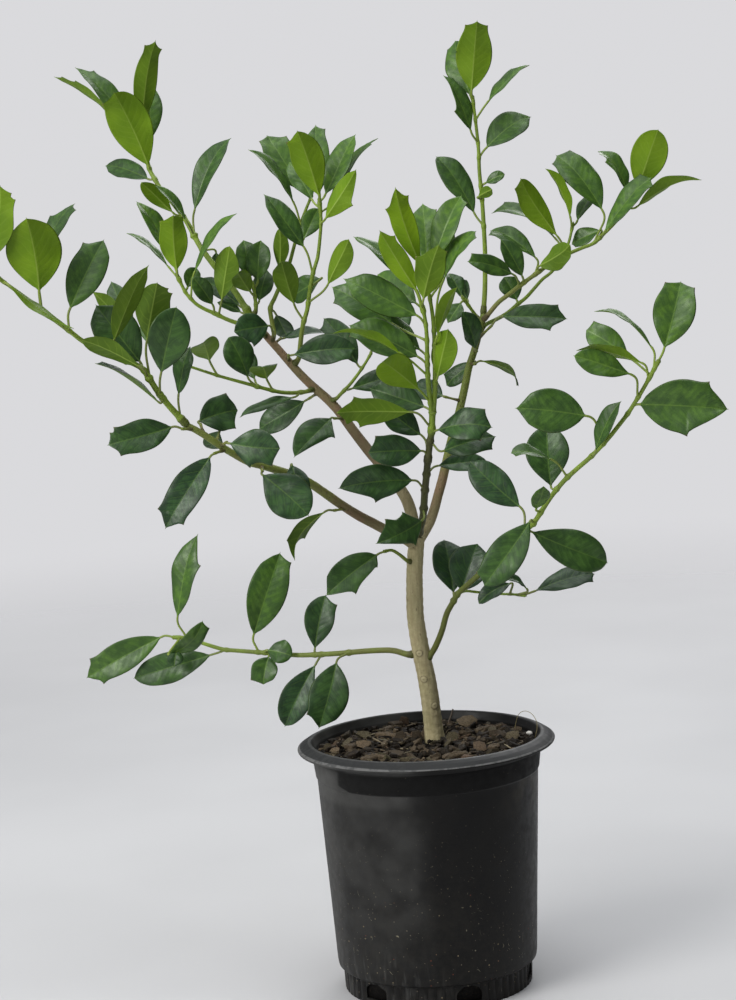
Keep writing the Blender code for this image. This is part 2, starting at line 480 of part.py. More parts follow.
# Shapes as lists of points and faces

def tube(stem, sides, grow=0.0):
    """A tapering stem, made thicker and longer at both ends by grow."""
    foot_radius, end_radius, points = stem
    axis = np.array([place(*point) for point in points])
    axis[0] -= unit(axis[1] - axis[0]) * grow
    axis[-1] += unit(axis[-1] - axis[-2]) * grow
    last = len(axis) - 1
    across = np.array([0.0, 1.0, 0.0])
    rings = []
    for index, centre in enumerate(axis):
        along = unit(axis[min(index + 1, last)] - axis[max(index - 1, 0)])
        across = unit(across - along * np.dot(across, along))
        round_about = np.cross(along, across)
        radius = (foot_radius + (end_radius - foot_radius) * index / last) * MM + grow
        angles = [2 * pi * side / sides for side in range(sides)]
        rings.append([centre + radius * (cos(a) * across + sin(a) * round_about) for a in angles])
    return skin(rings)


def skin(rings):
    """A closed body through rings of the same number of points."""
    sides = len(rings[0])
    points = [point for ring in rings for point in ring]
    faces = []
    for index in range(len(rings) - 1):
        for side in range(sides):
            here = index * sides + side
            beside = index * sides + (side + 1) % sides
            faces.append((here, beside, beside + sides, here + sides))
    top = (len(rings) - 1) * sides
    faces.append(tuple(reversed(range(sides))))
    faces.append(tuple(range(top, top + sides)))
    return points, faces


def leaf_frame(stems, leaf):
    """Foot, base and tip of a leaf, with the directions out of its upper side and out of its right edge."""
    foot, base, tip, (base_back, tip_back), _, turn, _ = leaf
    on_stem = nearest(stems, *foot)
    foot = place(*on_stem)
    base = place(*base, on_stem[2] + base_back)
    tip = place(*tip, on_stem[2] + tip_back)
    along = unit(tip - base)
    to_eye = EYE - base
    facing = unit(to_eye - along * np.dot(to_eye, along))
    angle = radians(turn)
    out = cos(angle) * facing + sin(angle) * np.cross(along, facing)
    return foot, base, tip, out, np.cross(along, out)


def midrib(base, tip, out, bend, share):
    """A point of the arched midrib, where share runs from 0 at the base to 1 at the tip."""
    rise = np.linalg.norm(tip - base) * tan(radians(bend) / 4) / 2
    arch = rise * 4 * share * (1 - share) * (ARCH_FOOT + ARCH_GAIN * share)
    return base + (tip - base) * share + out * arch


def half_width(width, share):
    """Half of the blade's width at a share of its length."""
    if not 0 < share < 1:
        return 0.0
    return width * MM / 2 * sin(pi * share**LEAF_SKEW) ** LEAF_FULLNESS


def stalk_point(foot, base, lead, share):
    """A point of the curved leaf stalk, which runs into the blade in the direction lead."""
    reach = STALK_REACH * np.linalg.norm(base - foot)
    first = foot + unit(base - foot) * reach
    second = base - lead * reach
    rest = 1 - share
    return rest**3 * foot + 3 * rest**2 * share * first + 3 * rest * share**2 * second + share**3 * base


def leaf_body(stems, leaf):
    """A leaf with its stalk, as one slim lens-shaped body that starts inside the stem."""
    foot, base, tip, out, aside = leaf_frame(stems, leaf)
    width, bend = leaf[4], leaf[6]
    stations = LEAF_STATIONS if np.linalg.norm(tip - base) > SMALL_LEAF else SMALL_LEAF_STATIONS
    step = 0.01
    lead = unit(midrib(base, tip, out, bend, step) - base)
    rings = []
    stalk_stations = 1 + int(np.linalg.norm(base - foot) / STALK_STEP)
    for index in range(stalk_stations):
        share = index / stalk_stations
        centre = stalk_point(foot, base, lead, share)
        ahead = unit(stalk_point(foot, base, lead, share + step) - centre)
        side = unit(aside - ahead * np.dot(aside, ahead))
        rings.append(diamond(centre, side, np.cross(side, ahead), STALK_RADIUS, STALK_RADIUS, 0.0))
    for share in stations:
        centre = midrib(base, tip, out, bend, share)
        ahead = unit(midrib(base, tip, out, bend, share + step) - midrib(base, tip, out, bend, share - step))
        upper = unit(out - ahead * np.dot(out, ahead))
        spread = half_width(width, share)
        if share == 0:
            rings.append(diamond(centre, aside, upper, STALK_RADIUS, STALK_RADIUS, 0.0))
        elif share == 1:
            rings.append(diamond(centre, aside, upper, TIP_HALF_WIDTH, TIP_HALF_THICKNESS, 0.0))
        else:
            rings.append(diamond(centre, aside, upper, spread, LEAF_THICKNESS / 2, LEAF_LIFT * spread))
    return skin(rings)


def diamond(centre, side, upper, spread, half_thick, lift):
    """Four points round a centre: the edges, which may be lifted, and the middle of each side."""
    return [
        centre - side * spread + upper * lift,
        centre - upper * half_thick,
        centre + side * spread + upper * lift,
        centre + upper * half_thick,
    ]


def circle(radius, height, sides=POT_SIDES):
    """Points round the pot's axis."""
    angles = [2 * pi * side / sides for side in range(sides)]
    return [np.array([radius * cos(a), radius * sin(a), height]) for a in angles]


# Pot and bark mix

INNER_WALL = (
    (FOOT_RADIUS - WALL, FLOOR),
    (FOOT_TOP_RADIUS - WALL, FOOT_TOP_HEIGHT + WALL / 2),
    (WALL_FOOT_RADIUS - WALL, WALL_FOOT_HEIGHT + WALL / 2),
    (WALL_TOP_RADIUS - WALL, BAND_FOOT_HEIGHT),
    (WALL_TOP_RADIUS + BAND_STEP - WALL, BAND_FOOT_HEIGHT + BAND_STEP),
    (NECK_RADIUS - WALL, LIP_FOOT_HEIGHT),
    (CREST_RADIUS - 1.2 * WALL, POT_HEIGHT - 0.5 * WALL),
)
MIX_WALL_RINGS = slice(1, 5)


def pot_rings():
    """The pot's section, from its foot up the outside, over the lip and down the inside to the floor."""
    outside = [
        (FOOT_RADIUS, 0.0),
        (FOOT_TOP_RADIUS, FOOT_TOP_HEIGHT),
        (WALL_FOOT_RADIUS, WALL_FOOT_HEIGHT),
        (WALL_TOP_RADIUS, BAND_FOOT_HEIGHT),
        (WALL_TOP_RADIUS + BAND_STEP, BAND_FOOT_HEIGHT + BAND_STEP),
        (NECK_RADIUS, LIP_FOOT_HEIGHT),
        (CREST_RADIUS - 0.4 * WALL, POT_HEIGHT - 1.2 * WALL),
        (LIP_RADIUS - 0.8 * WALL, LIP_EDGE_HEIGHT - 0.9 * WALL),
        (LIP_RADIUS - 0.8 * WALL, LIP_FOOT_HEIGHT),
        (LIP_RADIUS, LIP_FOOT_HEIGHT),
        (LIP_RADIUS, LIP_EDGE_HEIGHT),
        (CREST_RADIUS + 0.3 * WALL, POT_HEIGHT - 0.15 * WALL),
        (CREST_RADIUS - 0.3 * WALL, POT_HEIGHT),
    ]
    return [circle(*point) for point in outside + list(reversed(INNER_WALL))]


def drain_cutter(heading):
    """An arch that passes through the wall, on a heading in degrees round the pot from its front."""
    half = DRAIN_WIDTH / 2
    arch = [(-half, DRAIN_SILL)]
    for step in range(DRAIN_ARCH_SIDES + 1):
        angle = pi * (1 - step / DRAIN_ARCH_SIDES)
        arch.append((half * cos(angle), DRAIN_SPRING + (DRAIN_TOP - DRAIN_SPRING) * sin(angle)))
    arch.append((half, DRAIN_SILL))
    turn = radians(heading)
    outward = np.array([sin(turn), -cos(turn), 0.0])
    aside = np.array([cos(turn), sin(turn), 0.0])
    rings = []
    for reach in (0.8 * FOOT_RADIUS, 1.2 * FOOT_RADIUS):
        rings.append([outward * reach + aside * x + np.array([0.0, 0.0, z]) for x, z in arch])
    return skin(rings)


def mix_rings():
    """The bark mix, a fitting gap inside the pot, with a nearly level top."""
    rings = [circle(FOOT_RADIUS - WALL - FIT, FLOOR + FIT)]
    for radius, height in INNER_WALL[MIX_WALL_RINGS]:
        rings.append(circle(radius - FIT, height))
    for radius, height in MOUND:
        rings.append(circle(radius, height))
    return rings


def chip_body(chip, ground):
    """A flat chip of bark a fitting gap above the facet of the mix under its middle, and that spot."""
    across, back, length, width, thickness, heading = chip
    spot, normal, _, _ = ground.ray_cast(Vector((across, back, POT_HEIGHT)), Vector((0, 0, -1)))
    up = np.array(normal)
    turn = radians(heading)
    along = np.array([cos(turn), sin(turn), 0.0])
    along = unit(along - up * np.dot(along, up))
    aside = np.cross(up, along)
    rings = []
    for height, scale in ((FIT, 1.0), (FIT + thickness, CHIP_TOP)):
        centre = np.array(spot) + up * height
        rings.append([centre + scale * (along * length * x + aside * width * y) for x, y in CHIP_OUTLINE])
    return skin(rings), tuple(spot)


# Objects

def clear_scene():
    for item in list(bpy.data.objects):
        bpy.data.objects.remove(item, do_unlink=True)


def finish(body, colour, roughness):
    """Gives a body its own Principled material, and smooth shading away from its sharp edges."""
    material = bpy.data.materials.new(body.name + "_finish")
    material.use_nodes = True
    shader = material.node_tree.nodes["Principled BSDF"]
    shader.inputs["Base Color"].default_value = (*colour, 1.0)
    shader.inputs["Roughness"].default_value = roughness
    body.data.materials.clear()
    body.data.materials.append(material)
    body.data.shade_smooth()
    body.data.set_sharp_from_angle(angle=radians(SMOOTH_ANGLE))


def add_body(name, shape, origin=(0.0, 0.0, 0.0)):
    """An object from points and faces, with its faces turned outwards and its origin as given."""
    points, faces = shape
    mesh = bpy.data.meshes.new(name)
    mesh.from_pydata([tuple(np.subtract(point, origin)) for point in points], [], faces)
    work = bmesh.new()
    work.from_mesh(mesh)
    bmesh.ops.recalc_face_normals(work, faces=work.faces)
    work.to_mesh(mesh)
    work.free()
    body = bpy.data.objects.new(name, mesh)
    body.location = origin
    bpy.context.scene.collection.objects.link(body)
    return body


def solid(name, shapes, cutters=(), origin=(0.0, 0.0, 0.0)):
    """One closed body: all the shapes united, less the cutters."""
    body = add_body(name, shapes[0], origin)
    helpers = []
    for operation, others in (("UNION", shapes[1:]), ("DIFFERENCE", cutters)):
        for other in others:
            helper = add_body(name + "_helper", other)
            helpers.append(helper)
            modifier = body.modifiers.new(operation, "BOOLEAN")
            modifier.operation = operation
            modifier.solver = "EXACT"
            modifier.object = helper
    graph = bpy.context.evaluated_depsgraph_get()
    graph.update()
    result = bpy.data.meshes.new_from_object(body.evaluated_get(graph))
    result.name = name
    body.modifiers.clear()
    body.data = result
    for helper in helpers:
        bpy.data.objects.remove(helper, do_unlink=True)
    return body


def carrier_cutters(carrier):
    """The stems that carry a shoot, grown by the fitting gap that the shoot's foot keeps from them."""
    names = WOOD if carrier in WOOD else [carrier]
    sides = WOOD_SIDES if carrier in WOOD else STEM_SIDES
    return [tube(stem, sides, FIT) for name in names for stem in stems_of(name)]


def foot_of(name):
    """Where the axis of a shoot or of the trunk starts."""
    return tuple(place(*stems_of(name)[0][2][0]))


def parent_all(name):
    """Hangs every body on one empty at the origin."""
    bodies = list(bpy.context.scene.collection.objects)
    root = bpy.data.objects.new(name, None)
    bpy.context.scene.collection.objects.link(root)
    for body in bodies:
        body.parent = root


def build():
    clear_scene()
    drains = [drain_cutter(DRAIN_PHASE + 360 * n / DRAIN_COUNT) for n in range(DRAIN_COUNT)]
    pot = solid("nursery_pot", [skin(pot_rings())], drains)
    finish(pot, (0.012, 0.012, 0.013), 0.45)

    mix = solid("potting_mix", [skin(mix_rings())], [tube(WOOD["trunk"], WOOD_SIDES, FIT)])
    finish(mix, (0.05, 0.032, 0.02), 0.95)
    graph = bpy.context.evaluated_depsgraph_get()
    ground = BVHTree.FromObject(mix, graph)
    for number, chip in enumerate(CHIPS, start=1):
        shape, spot = chip_body(chip, ground)
        body = add_body(f"bark_chip_{number}", shape, spot)
        finish(body, (0.16, 0.085, 0.045), 0.9)

    wood = solid("trunk", [tube(stem, WOOD_SIDES) for stem in WOOD.values()], origin=foot_of("trunk"))
    finish(wood, (0.2, 0.16, 0.11), 0.8)
    for name, shoot in SHOOTS.items():
        stems = stems_of(name)
        shapes = [tube(stem, STEM_SIDES) for stem in stems]
        shapes += [leaf_body(stems, leaf) for leaf in shoot["leaves"]]
        body = solid(name, shapes, carrier_cutters(shoot["carrier"]), foot_of(name))
        finish(body, (0.13, 0.22, 0.03), 0.35)
    parent_all("potted_holly")


build()
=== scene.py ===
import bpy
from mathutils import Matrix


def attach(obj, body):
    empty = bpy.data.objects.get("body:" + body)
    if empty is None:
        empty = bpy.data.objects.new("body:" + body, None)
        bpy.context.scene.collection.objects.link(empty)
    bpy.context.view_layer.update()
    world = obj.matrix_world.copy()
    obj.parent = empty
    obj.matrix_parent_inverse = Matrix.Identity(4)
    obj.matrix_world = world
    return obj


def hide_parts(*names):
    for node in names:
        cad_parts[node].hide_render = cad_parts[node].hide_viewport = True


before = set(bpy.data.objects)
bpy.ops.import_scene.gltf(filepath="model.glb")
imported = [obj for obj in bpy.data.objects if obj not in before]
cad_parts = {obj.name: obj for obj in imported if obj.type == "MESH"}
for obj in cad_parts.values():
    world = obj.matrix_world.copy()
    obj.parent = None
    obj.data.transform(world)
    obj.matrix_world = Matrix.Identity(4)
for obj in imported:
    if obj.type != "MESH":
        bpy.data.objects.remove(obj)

"""A young spiny-leaved holly in a black nursery pot: its finished pieces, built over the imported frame."""

from math import cos, pi, radians, sin, tan

import bmesh
import bpy
import numpy as np
from mathutils import Matrix, Vector, noise

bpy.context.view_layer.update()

MM = 0.001

# Viewpoint of the plant chart, and how deep a millimetre of its third number is
EYE = np.array([-0.034, -1.9, 0.618])
DEPTH = 1.3

# Pot
POT_HEIGHT = 0.1945
CREST_RADIUS = 0.0889
LIP_RADIUS = 0.0985
LIP_EDGE_HEIGHT = 0.1885
LIP_FOOT_HEIGHT = 0.1866
NECK_RADIUS = 0.0868
BAND_FOOT_HEIGHT = 0.1665
BAND_STEP = 0.0010
BAND_TOP_HEIGHT = 0.1820
WALL_TOP_RADIUS = 0.0846
WALL_FOOT_RADIUS = 0.0772
WALL_FOOT_HEIGHT = 0.0215
FOOT_TOP_RADIUS = 0.0732
FOOT_TOP_HEIGHT = 0.0175
FOOT_RADIUS = 0.0724
WALL = 0.0018
FLOOR = 0.0025
DRAIN_COUNT = 6
DRAIN_PHASE = 17.0
DRAIN_WIDTH = 0.020
DRAIN_SILL = 0.0040
DRAIN_SPRING = 0.0095
DRAIN_TOP = 0.0165
DRAIN_STEPS = 24
FLUTE_COUNT = 66
FLUTE_DEPTH = 0.0013
# How far the thin wall is out of round, in two waves and in five
POT_SWAY = 0.00045
POT_RIPPLE = 0.0002

# The plant's chart: across and up as seen on the upright plane through the pot's axis, and how far behind
# it, all in millimetres. Wood is: radius at its foot, radius at its end, points of its axis.
WOOD = {
    "trunk": (7.6, 6.2, [(8, 170, 17), (7, 188, 17), (6, 203, 17), (5, 219, 16), (3.5, 235, 15),
        (1.3, 250, 14), (-0.5, 262, 13), (-2.2, 277, 12), (-3, 290, 11), (-2.6, 305, 10), (-1.8, 320, 10),
        (-0.5, 333, 10), (1.5, 348, 10)]),
    "upper_left_limb": (5, 2.9, [(0.5, 340, 10), (-1, 361, 13), (-5, 377, 16), (-13, 391, 20),
        (-22, 403, 24), (-31, 415, 28), (-42, 431, 32), (-51, 445, 36), (-60, 456, 39), (-74, 470, 43),
        (-85, 483, 46), (-95, 496, 49), (-103, 506, 52), (-108, 513, 54)]),
    "lower_left_limb": (4.2, 2.5, [(0, 341, 9), (-11, 349, -2), (-21, 354, -7), (-31, 360, -12),
        (-41, 366, -17), (-51, 373, -22), (-60, 380, -27), (-70, 388, -32), (-78, 394, -36),
        (-87, 399, -40), (-98, 403.5, -44), (-110, 408, -48), (-122, 412, -52), (-132, 418, -55),
        (-141, 424, -58), (-150, 431, -61), (-159, 437.5, -63), (-168, 443, -65)]),
    "right_limb": (4.2, 2.6, [(1.5, 343, 10), (11, 357, 19), (15, 366, 22), (19, 378, 26), (23, 390, 30),
        (26.5, 402, 33), (31, 418, 37), (36, 433, 40), (40, 446, 42), (44, 461, 44), (47.5, 474, 46),
        (52, 486, 48), (56, 498, 49), (59.5, 509, 50), (60.5, 514, 51)]),
}

# Shoots: where each leaves its carrier, the carrier's name, its stems, written as the wood is, and its
# leaves. The first stem starts on the carrier's axis. A leaf is: foot of its stalk, base and tip of its blade,
# how far its base and tip lie behind its foot, width, turn away from the viewer and bend in degrees, and the
# spines of its left and right edges, each a digit that grows from the base to the tip.
SHOOTS = {
    "top_leader": ((60.5, 514), "right_limb", [
        (2, 1.15, [(62.3, 530, 51), (63.3, 545, 51.5), (64, 560, 52), (64, 580, 52), (63.7, 600, 53),
            (62.8, 620, 54), (63, 635, 54), (62.3, 650, 55), (60.6, 674, 55)])], [
        ((60.6, 673), (60, 679), (67, 732), (-3, -14), 28, 180, 20, "9/9"),
        ((60.8, 670), (59, 676), (49, 718), (5, 20), 24, -25, 25, "9/"),
        ((62.6, 641), (58, 650), (40, 693), (-4, 3), 22, 55, 30, "3/9"),
        ((61.8, 658), (72, 671), (104, 697), (0, 4), 22, -70, 25, "7/"),
        ((63.2, 630), (69, 637), (104, 659), (1, 12), 27, -38, 30, "/"),
        ((64, 579), (57.5, 589), (31, 634), (2, 12), 24, 35, 25, "/"),
        ((63.6, 609), (67, 611), (82, 617), (-2, -6), 10, -30, 30, "/"),
        ((63.7, 599), (61, 601), (72, 606), (-4, -12), 9, 180, 20, "/")]),
    "right_upper_shoot": ((59.3, 508.5), "right_limb", [
        (1.9, 1.1, [(64, 513, 47.5), (72, 521.5, 49), (80, 527, 50), (90, 534, 50), (100, 540.5, 50),
            (112, 548, 51), (124, 554, 52), (136, 558.5, 54), (145, 561.5, 55), (152, 567, 56),
            (160, 574, 57), (168, 582, 58), (181, 596, 60)])], [
        ((101, 541), (102, 553), (68, 577), (4, 16), 20, 50, 40, "9/"),
        ((92, 535.5), (91, 540), (76, 569.5), (-3, -5), 17, 25, 20, "/"),
        ((89, 533), (84, 542), (50.5, 554), (-7, -25), 17, 25, 25, "/9"),
        ((104, 543), (104, 547), (129, 562), (-4, -16), 20, 145, 20, "/"),
        ((150, 565), (151, 571), (128, 562), (4, 14), 16, 40, 25, "/"),
        ((147, 562.5), (153, 586), (120, 630), (3, 14), 30, 35, 25, "9/9"),
        ((151, 566), (154, 570), (191, 610), (-6, -8), 22, -50, 20, "9/9"),
        ((181, 595), (180, 599), (198, 645), (-3, -16), 28, 180, 25, "/"),
        ((176, 591), (172, 599), (151, 631), (2, 8), 20, 58, 60, "68/"),
        ((172, 586), (179, 587), (229, 605), (-3, -8), 20, -118, 45, "/9")]),
    "right_mid_shoot": ((56.5, 500), "right_limb", [
        (1.7, 1, [(62, 505.5, 54), (70, 509, 55.5), (78, 513, 57), (86, 519, 58), (93, 524, 59),
            (100, 531, 60), (106, 537, 60), (113, 542, 61), (119, 549, 62), (124, 557, 63),
            (127.5, 565, 64), (130.5, 576, 65)])], [
        ((87, 519.8), (86, 522.5), (77, 541), (4, 12), 18, 20, 20, "/"),
        ((123.5, 556), (117, 567), (69, 590), (6, 12), 20, 68, 70, "/8"),
        ((124, 557.5), (119, 568), (92, 614), (-4, -14), 22, -150, 25, "9/"),
        ((130, 573), (129, 582), (112, 620), (-3, -8), 18, 112, 30, "/"),
        ((130.3, 575), (134, 579), (154, 603), (3, 12), 18, -58, 40, "8/")]),
    "limb_node_twig": ((59.4, 508), "right_limb", [
        (1.5, 1.1, [(55, 512.5, 53), (50, 520, 51), (46, 526, 49)])], [
        ((46.5, 525.5), (45, 528), (36, 546), (3, 10), 15, 30, 25, "/"),
        ((47, 524.5), (44, 523), (33, 508), (-3, -9), 14, 20, 30, "/"),
        ((50, 521), (49, 525), (46, 541), (4, 12), 12, -20, 20, "/")]),
    "right_limb_low_leaf": ((41, 449), "right_limb", [
        (1, 0.9, [(34, 450, 39), (28, 453, 35)])], [
        ((28.5, 452.8), (27, 453.5), (3, 462), (3, 12), 20, 25, 25, "/")]),
    "right_limb_front_leaf": ((52, 486), "right_limb", [
        (1.1, 0.9, [(53.5, 485.5, 44), (54, 486, 42)])], [
        ((54, 486), (53, 488), (44, 517), (-3, -10), 20, 35, 20, "/")]),
    "right_limb_arched_leaf": ((48.5, 476.5), "right_limb", [
        (1.1, 0.9, [(51, 475.5, 42.5), (52.5, 476.5, 40)])], [
        ((52.5, 476.5), (57, 478.5), (84.5, 457), (-2, -10), 16, -114, 90, "7/9")]),
    "right_limb_grey_leaf": ((46.5, 470), "right_limb", [
        (1.1, 0.9, [(47, 473, 47), (49, 476, 49)])], [
        ((49, 476), (52, 478), (29, 461), (4, 9), 16, 30, 25, "/8")]),
    "right_limb_side_leaf": ((55, 495), "right_limb", [
        (1.3, 0.9, [(61, 500.5, 46), (66, 504.3, 44)])], [
        ((66, 504.3), (74, 511), (124, 507), (-2, -10), 21, -25, 15, "8/7")]),
    "centre_shoot": ((2, 349), "trunk", [
        (2.9, 2.4, [(6.5, 361, -1), (8, 370, -4), (9.3, 381, -8), (11, 392, -11), (12.7, 404, -14),
            (14.7, 416, -17), (17, 428, -20), (18.3, 441, -23)]),
        (2, 1.3, [(18.3, 438, -22), (16.8, 455, -26), (16.2, 470, -29), (16.6, 485, -31), (17, 500, -33),
            (16.3, 513, -34), (14.5, 523, -35)]),
        (2, 1.2, [(18.3, 438, -22), (20.6, 455, -25), (21.7, 470, -27), (22.2, 485, -29), (22.6, 500, -30),
            (22.2, 515, -31), (20.5, 530, -32), (18, 546, -33)])], [
        ((17.8, 546), (15, 553), (-1, 613), (-3, -12), 18, 190, 25, "7/8"),
        ((14.5, 523), (11.5, 534), (-14.5, 582), (-4, -19), 17, 172, 20, "/8"),
        ((18.2, 545), (20, 553), (19, 600), (9, 22), 22, -10, 20, "/8"),
        ((18.8, 540), (25, 555), (49, 604), (4, 8), 22, -30, 30, "/9"),
        ((20.8, 527), (32, 546), (36, 585), (8, 18), 16, 10, 20, "/"),
        ((14.8, 521), (16, 527), (30, 568), (-10, -17), 22, 185, 20, "6/9"),
        ((22.5, 503), (32, 541), (58, 577), (-3, -4), 20, -62, 25, "/9"),
        ((22.4, 492), (25, 499), (41, 536), (-8, -17), 16, -125, 20, "/"),
        ((21.5, 464), (23.5, 468), (34, 505), (-4, -16), 21, 155, 20, "/"),
        ((15.6, 518), (8, 538), (-34, 578), (1, 7), 20, 55, 25, "/"),
        ((16.4, 508), (11, 515), (-44, 547), (-1, 3), 26, 15, 20, "/"),
        ((15.6, 518.5), (11, 524), (-18, 549), (14, 34), 22, 20, 20, "/"),
        ((16.5, 496), (-8, 510), (-53, 541), (12, 24), 25, 10, 20, "8/"),
        ((16.4, 478), (10, 484), (-42, 512), (0, 5), 26, 15, 20, "9/"),
        ((16.6, 484), (12, 489), (-22, 517), (9, 25), 21, 20, 20, "/"),
        ((16.4, 470), (-4, 488), (-54, 506), (-11, -18), 18, 112, 45, "/"),
        ((17.3, 449), (9, 459.5), (-19, 484), (-6, -38), 26, 172, 15, "/"),
        ((17.8, 442), (13, 446), (-29, 463), (3, 14), 24, 15, 20, "/"),
        ((17, 430), (2, 443), (-56, 446), (-8, -18), 20, 165, 15, "68/7"),
        ((12.8, 405), (9, 425), (-20, 450), (6, 14), 22, 12, 25, "/"),
        ((13.2, 408), (9, 413), (-33, 414), (-3, -14), 24, 5, 25, "/8"),
        ((17, 427), (21, 428), (64, 428), (-4, -16), 26, -25, 60, "8/8"),
        ((15.5, 420), (25, 412), (66, 421), (-3, 2), 23, -20, 30, "/8"),
        ((11.5, 395), (20, 401), (60, 401), (5, 12), 18, -30, 30, "/"),
        ((9.5, 383), (1, 391), (-57, 388), (-5, -16), 26, 5, 35, "5/"),
        ((8, 369), (6, 360), (-30, 344), (-12, -40), 28, -10, 30, "3/37")]),
    "upper_limb_spiny_leaf": ((-99, 501), "upper_left_limb", [
        (1.2, 0.9, [(-97.5, 504.5, 46.5), (-98, 509.5, 43)])], [
        ((-98, 509), (-101, 514), (-128, 511), (-3, -12), 24, 10, 25, "57/")]),
    "upper_limb_low_leaf": ((-88, 486.5), "upper_left_limb", [
        (1.2, 0.9, [(-88.5, 489, 42), (-87.5, 491, 38)])], [
        ((-87.6, 490.8), (-84, 491), (-36, 493), (-2, -8), 24, -12, 20, "/9")]),
    "upper_limb_back_leaf": ((-98, 500), "upper_left_limb", [
        (1.1, 0.9, [(-95.5, 502, 56), (-92.5, 504, 59)])], [
        ((-93, 503.8), (-90, 504), (-56, 506), (3, 12), 18, -65, 25, "/")]),
    "upper_limb_dark_leaf": ((-66, 462), "upper_left_limb", [
        (1.2, 0.9, [(-70, 459.5, 46.5), (-74, 457.5, 50)])], [
        ((-74, 457.5), (-77, 456), (-114, 436), (2, 10), 24, 20, 20, "/")]),
    "upper_limb_front_leaf": ((-48.5, 441), "upper_left_limb", [
        (1.2, 0.9, [(-53, 442.3, 30), (-56, 441.5, 24)])], [
        ((-55.8, 441.5), (-58, 442), (-89, 413), (-2, -24), 26, 10, 70, "3/")]),
    "upper_limb_twig": ((-59, 455), "upper_left_limb", [
        (1.5, 1, [(-54, 456, 35), (-50, 459.5, 34), (-43, 466, 33), (-36, 474, 31), (-30, 482, 30),
            (-26, 488, 29)])], [
        ((-47, 462), (-42, 463), (-2, 472), (5, 16), 20, -30, 20, "/"),
        ((-27, 487), (-24, 492), (6, 521), (6, 18), 20, -10, 20, "/"),
        ((-33, 478), (-36, 481), (-60, 518), (5, 18), 20, 15, 20, "8/")]),
    "mid_left_shoot": ((-69, 465), "upper_left_limb", [
        (1.7, 1, [(-75, 463, 37), (-80, 462.5, 35.5), (-87, 462.5, 33), (-95, 463.5, 30), (-104, 466, 27),
            (-113, 469, 24), (-122, 472, 21), (-141, 478.5, 15), (-159, 485.5, 9), (-168, 489, 6)])], [
        ((-113, 469), (-119, 476), (-132, 508), (-3, -6), 24, 20, 20, "/"),
        ((-112, 468.6), (-114, 474), (-118, 500), (4, 12), 16, -35, 25, "/"),
        ((-101, 465), (-105, 474), (-108, 484), (-4, -44), 22, 178, 20, "/"),
        ((-142, 478.8), (-147, 490), (-151, 505), (-4, -42), 22, 178, 20, "/"),
        ((-80, 462.5), (-86, 459), (-128, 447), (-6, -12), 20, 62, 20, "/"),
        ((-168, 489), (-173, 494), (-196, 522), (3, 22), 18, 30, 20, "/")]),
    "left_leader": ((-108, 513), "upper_left_limb", [
        (2.6, 1.55, [(-112, 519, 55), (-118, 529, 56), (-123, 538, 58), (-128, 546, 60), (-134, 554, 62),
            (-140, 562.5, 64), (-147.5, 574, 67), (-152.5, 584, 70), (-157.5, 595, 73), (-166, 608, 77),
            (-175, 620, 81), (-179, 627.5, 83), (-183, 637, 86), (-186.5, 659, 90)])], [
        ((-182.5, 636), (-183, 637), (-206, 695), (-3, -15), 33, 180, 20, "9/"),
        ((-186.5, 657), (-186, 666), (-172, 731), (-1, -6), 19, -160, 15, "9/9"),
        ((-186, 652), (-191, 662), (-233, 714), (3, 8), 20, 42, 25, "/8"),
        ((-185.5, 647), (-197, 666), (-249, 708), (8, 22), 18, 112, 30, "/79"),
        ((-185.8, 650), (-181, 655), (-178, 699), (6, 20), 20, 10, 20, "/"),
        ((-179, 627.5), (-184, 628), (-216, 640), (2, 26), 18, 30, 20, "/"),
        ((-160, 599), (-167, 602), (-190, 627), (-4, -18), 14, 165, 25, "/"),
        ((-152.5, 584), (-158, 596), (-180, 624), (-8, -9), 14, 62, 20, "/"),
        ((-152.5, 584.5), (-151, 603), (-120, 656), (2, 10), 20, -38, 40, "/"),
        ((-117.5, 528), (-122, 530), (-151, 553), (6, 18), 15, 30, 20, "/"),
        ((-116.5, 526), (-121, 525), (-139, 534), (8, 14), 9, 30, 20, "/"),
        ((-147, 573), (-137, 571), (-135, 558), (4, 10), 11, 20, 30, "/")]),
    "left_side_shoot": ((-103.5, 506.5), "upper_left_limb", [
        (1.9, 1.2, [(-107, 508.5, 45), (-112, 512, 44), (-118, 515.5, 45), (-125, 517.5, 46),
            (-133, 521, 45.5), (-140, 525, 45), (-148, 529, 44), (-154, 533, 43), (-158, 537.5, 43),
            (-162, 543, 43), (-167, 555, 43)])], [
        ((-167, 554.5), (-167, 559), (-167, 602), (-3, -12), 22, 180, 20, "8/9"),
        ((-166, 552.5), (-173, 562), (-203, 590), (4, 9), 16, 72, 30, "/"),
        ((-165.5, 551), (-170, 566), (-194, 613), (12, 24), 20, 45, 25, "/"),
        ((-158, 538), (-154, 557), (-120, 601), (0, -2), 16, -68, 35, "/"),
        ((-162, 543), (-160, 546), (-152, 561), (4, 8), 13, 0, 20, "/"),
        ((-141, 525.5), (-142, 532), (-156, 554), (-3, -12), 15, 20, 20, "/"),
        ((-138, 524), (-135, 535), (-126, 576), (-3, -8), 21, 158, 20, "/")]),
    "left_short_shoot": ((-113.5, 521.5), "left_leader", [
        (1.7, 1.1, [(-110, 526, 54), (-110, 537, 54), (-111, 546, 55)])], [
        ((-111, 544), (-113, 550), (-116, 580), (4, 10), 18, 5, 20, "/"),
        ((-110.8, 542), (-107, 548), (-103, 579), (0, 4), 20, -15, 20, "/"),
        ((-110.5, 536), (-113, 540), (-122, 556), (-4, -24), 16, 178, 20, "/"),
        ((-110, 530), (-107, 533), (-99, 556), (6, 16), 17, -15, 20, "/")]),
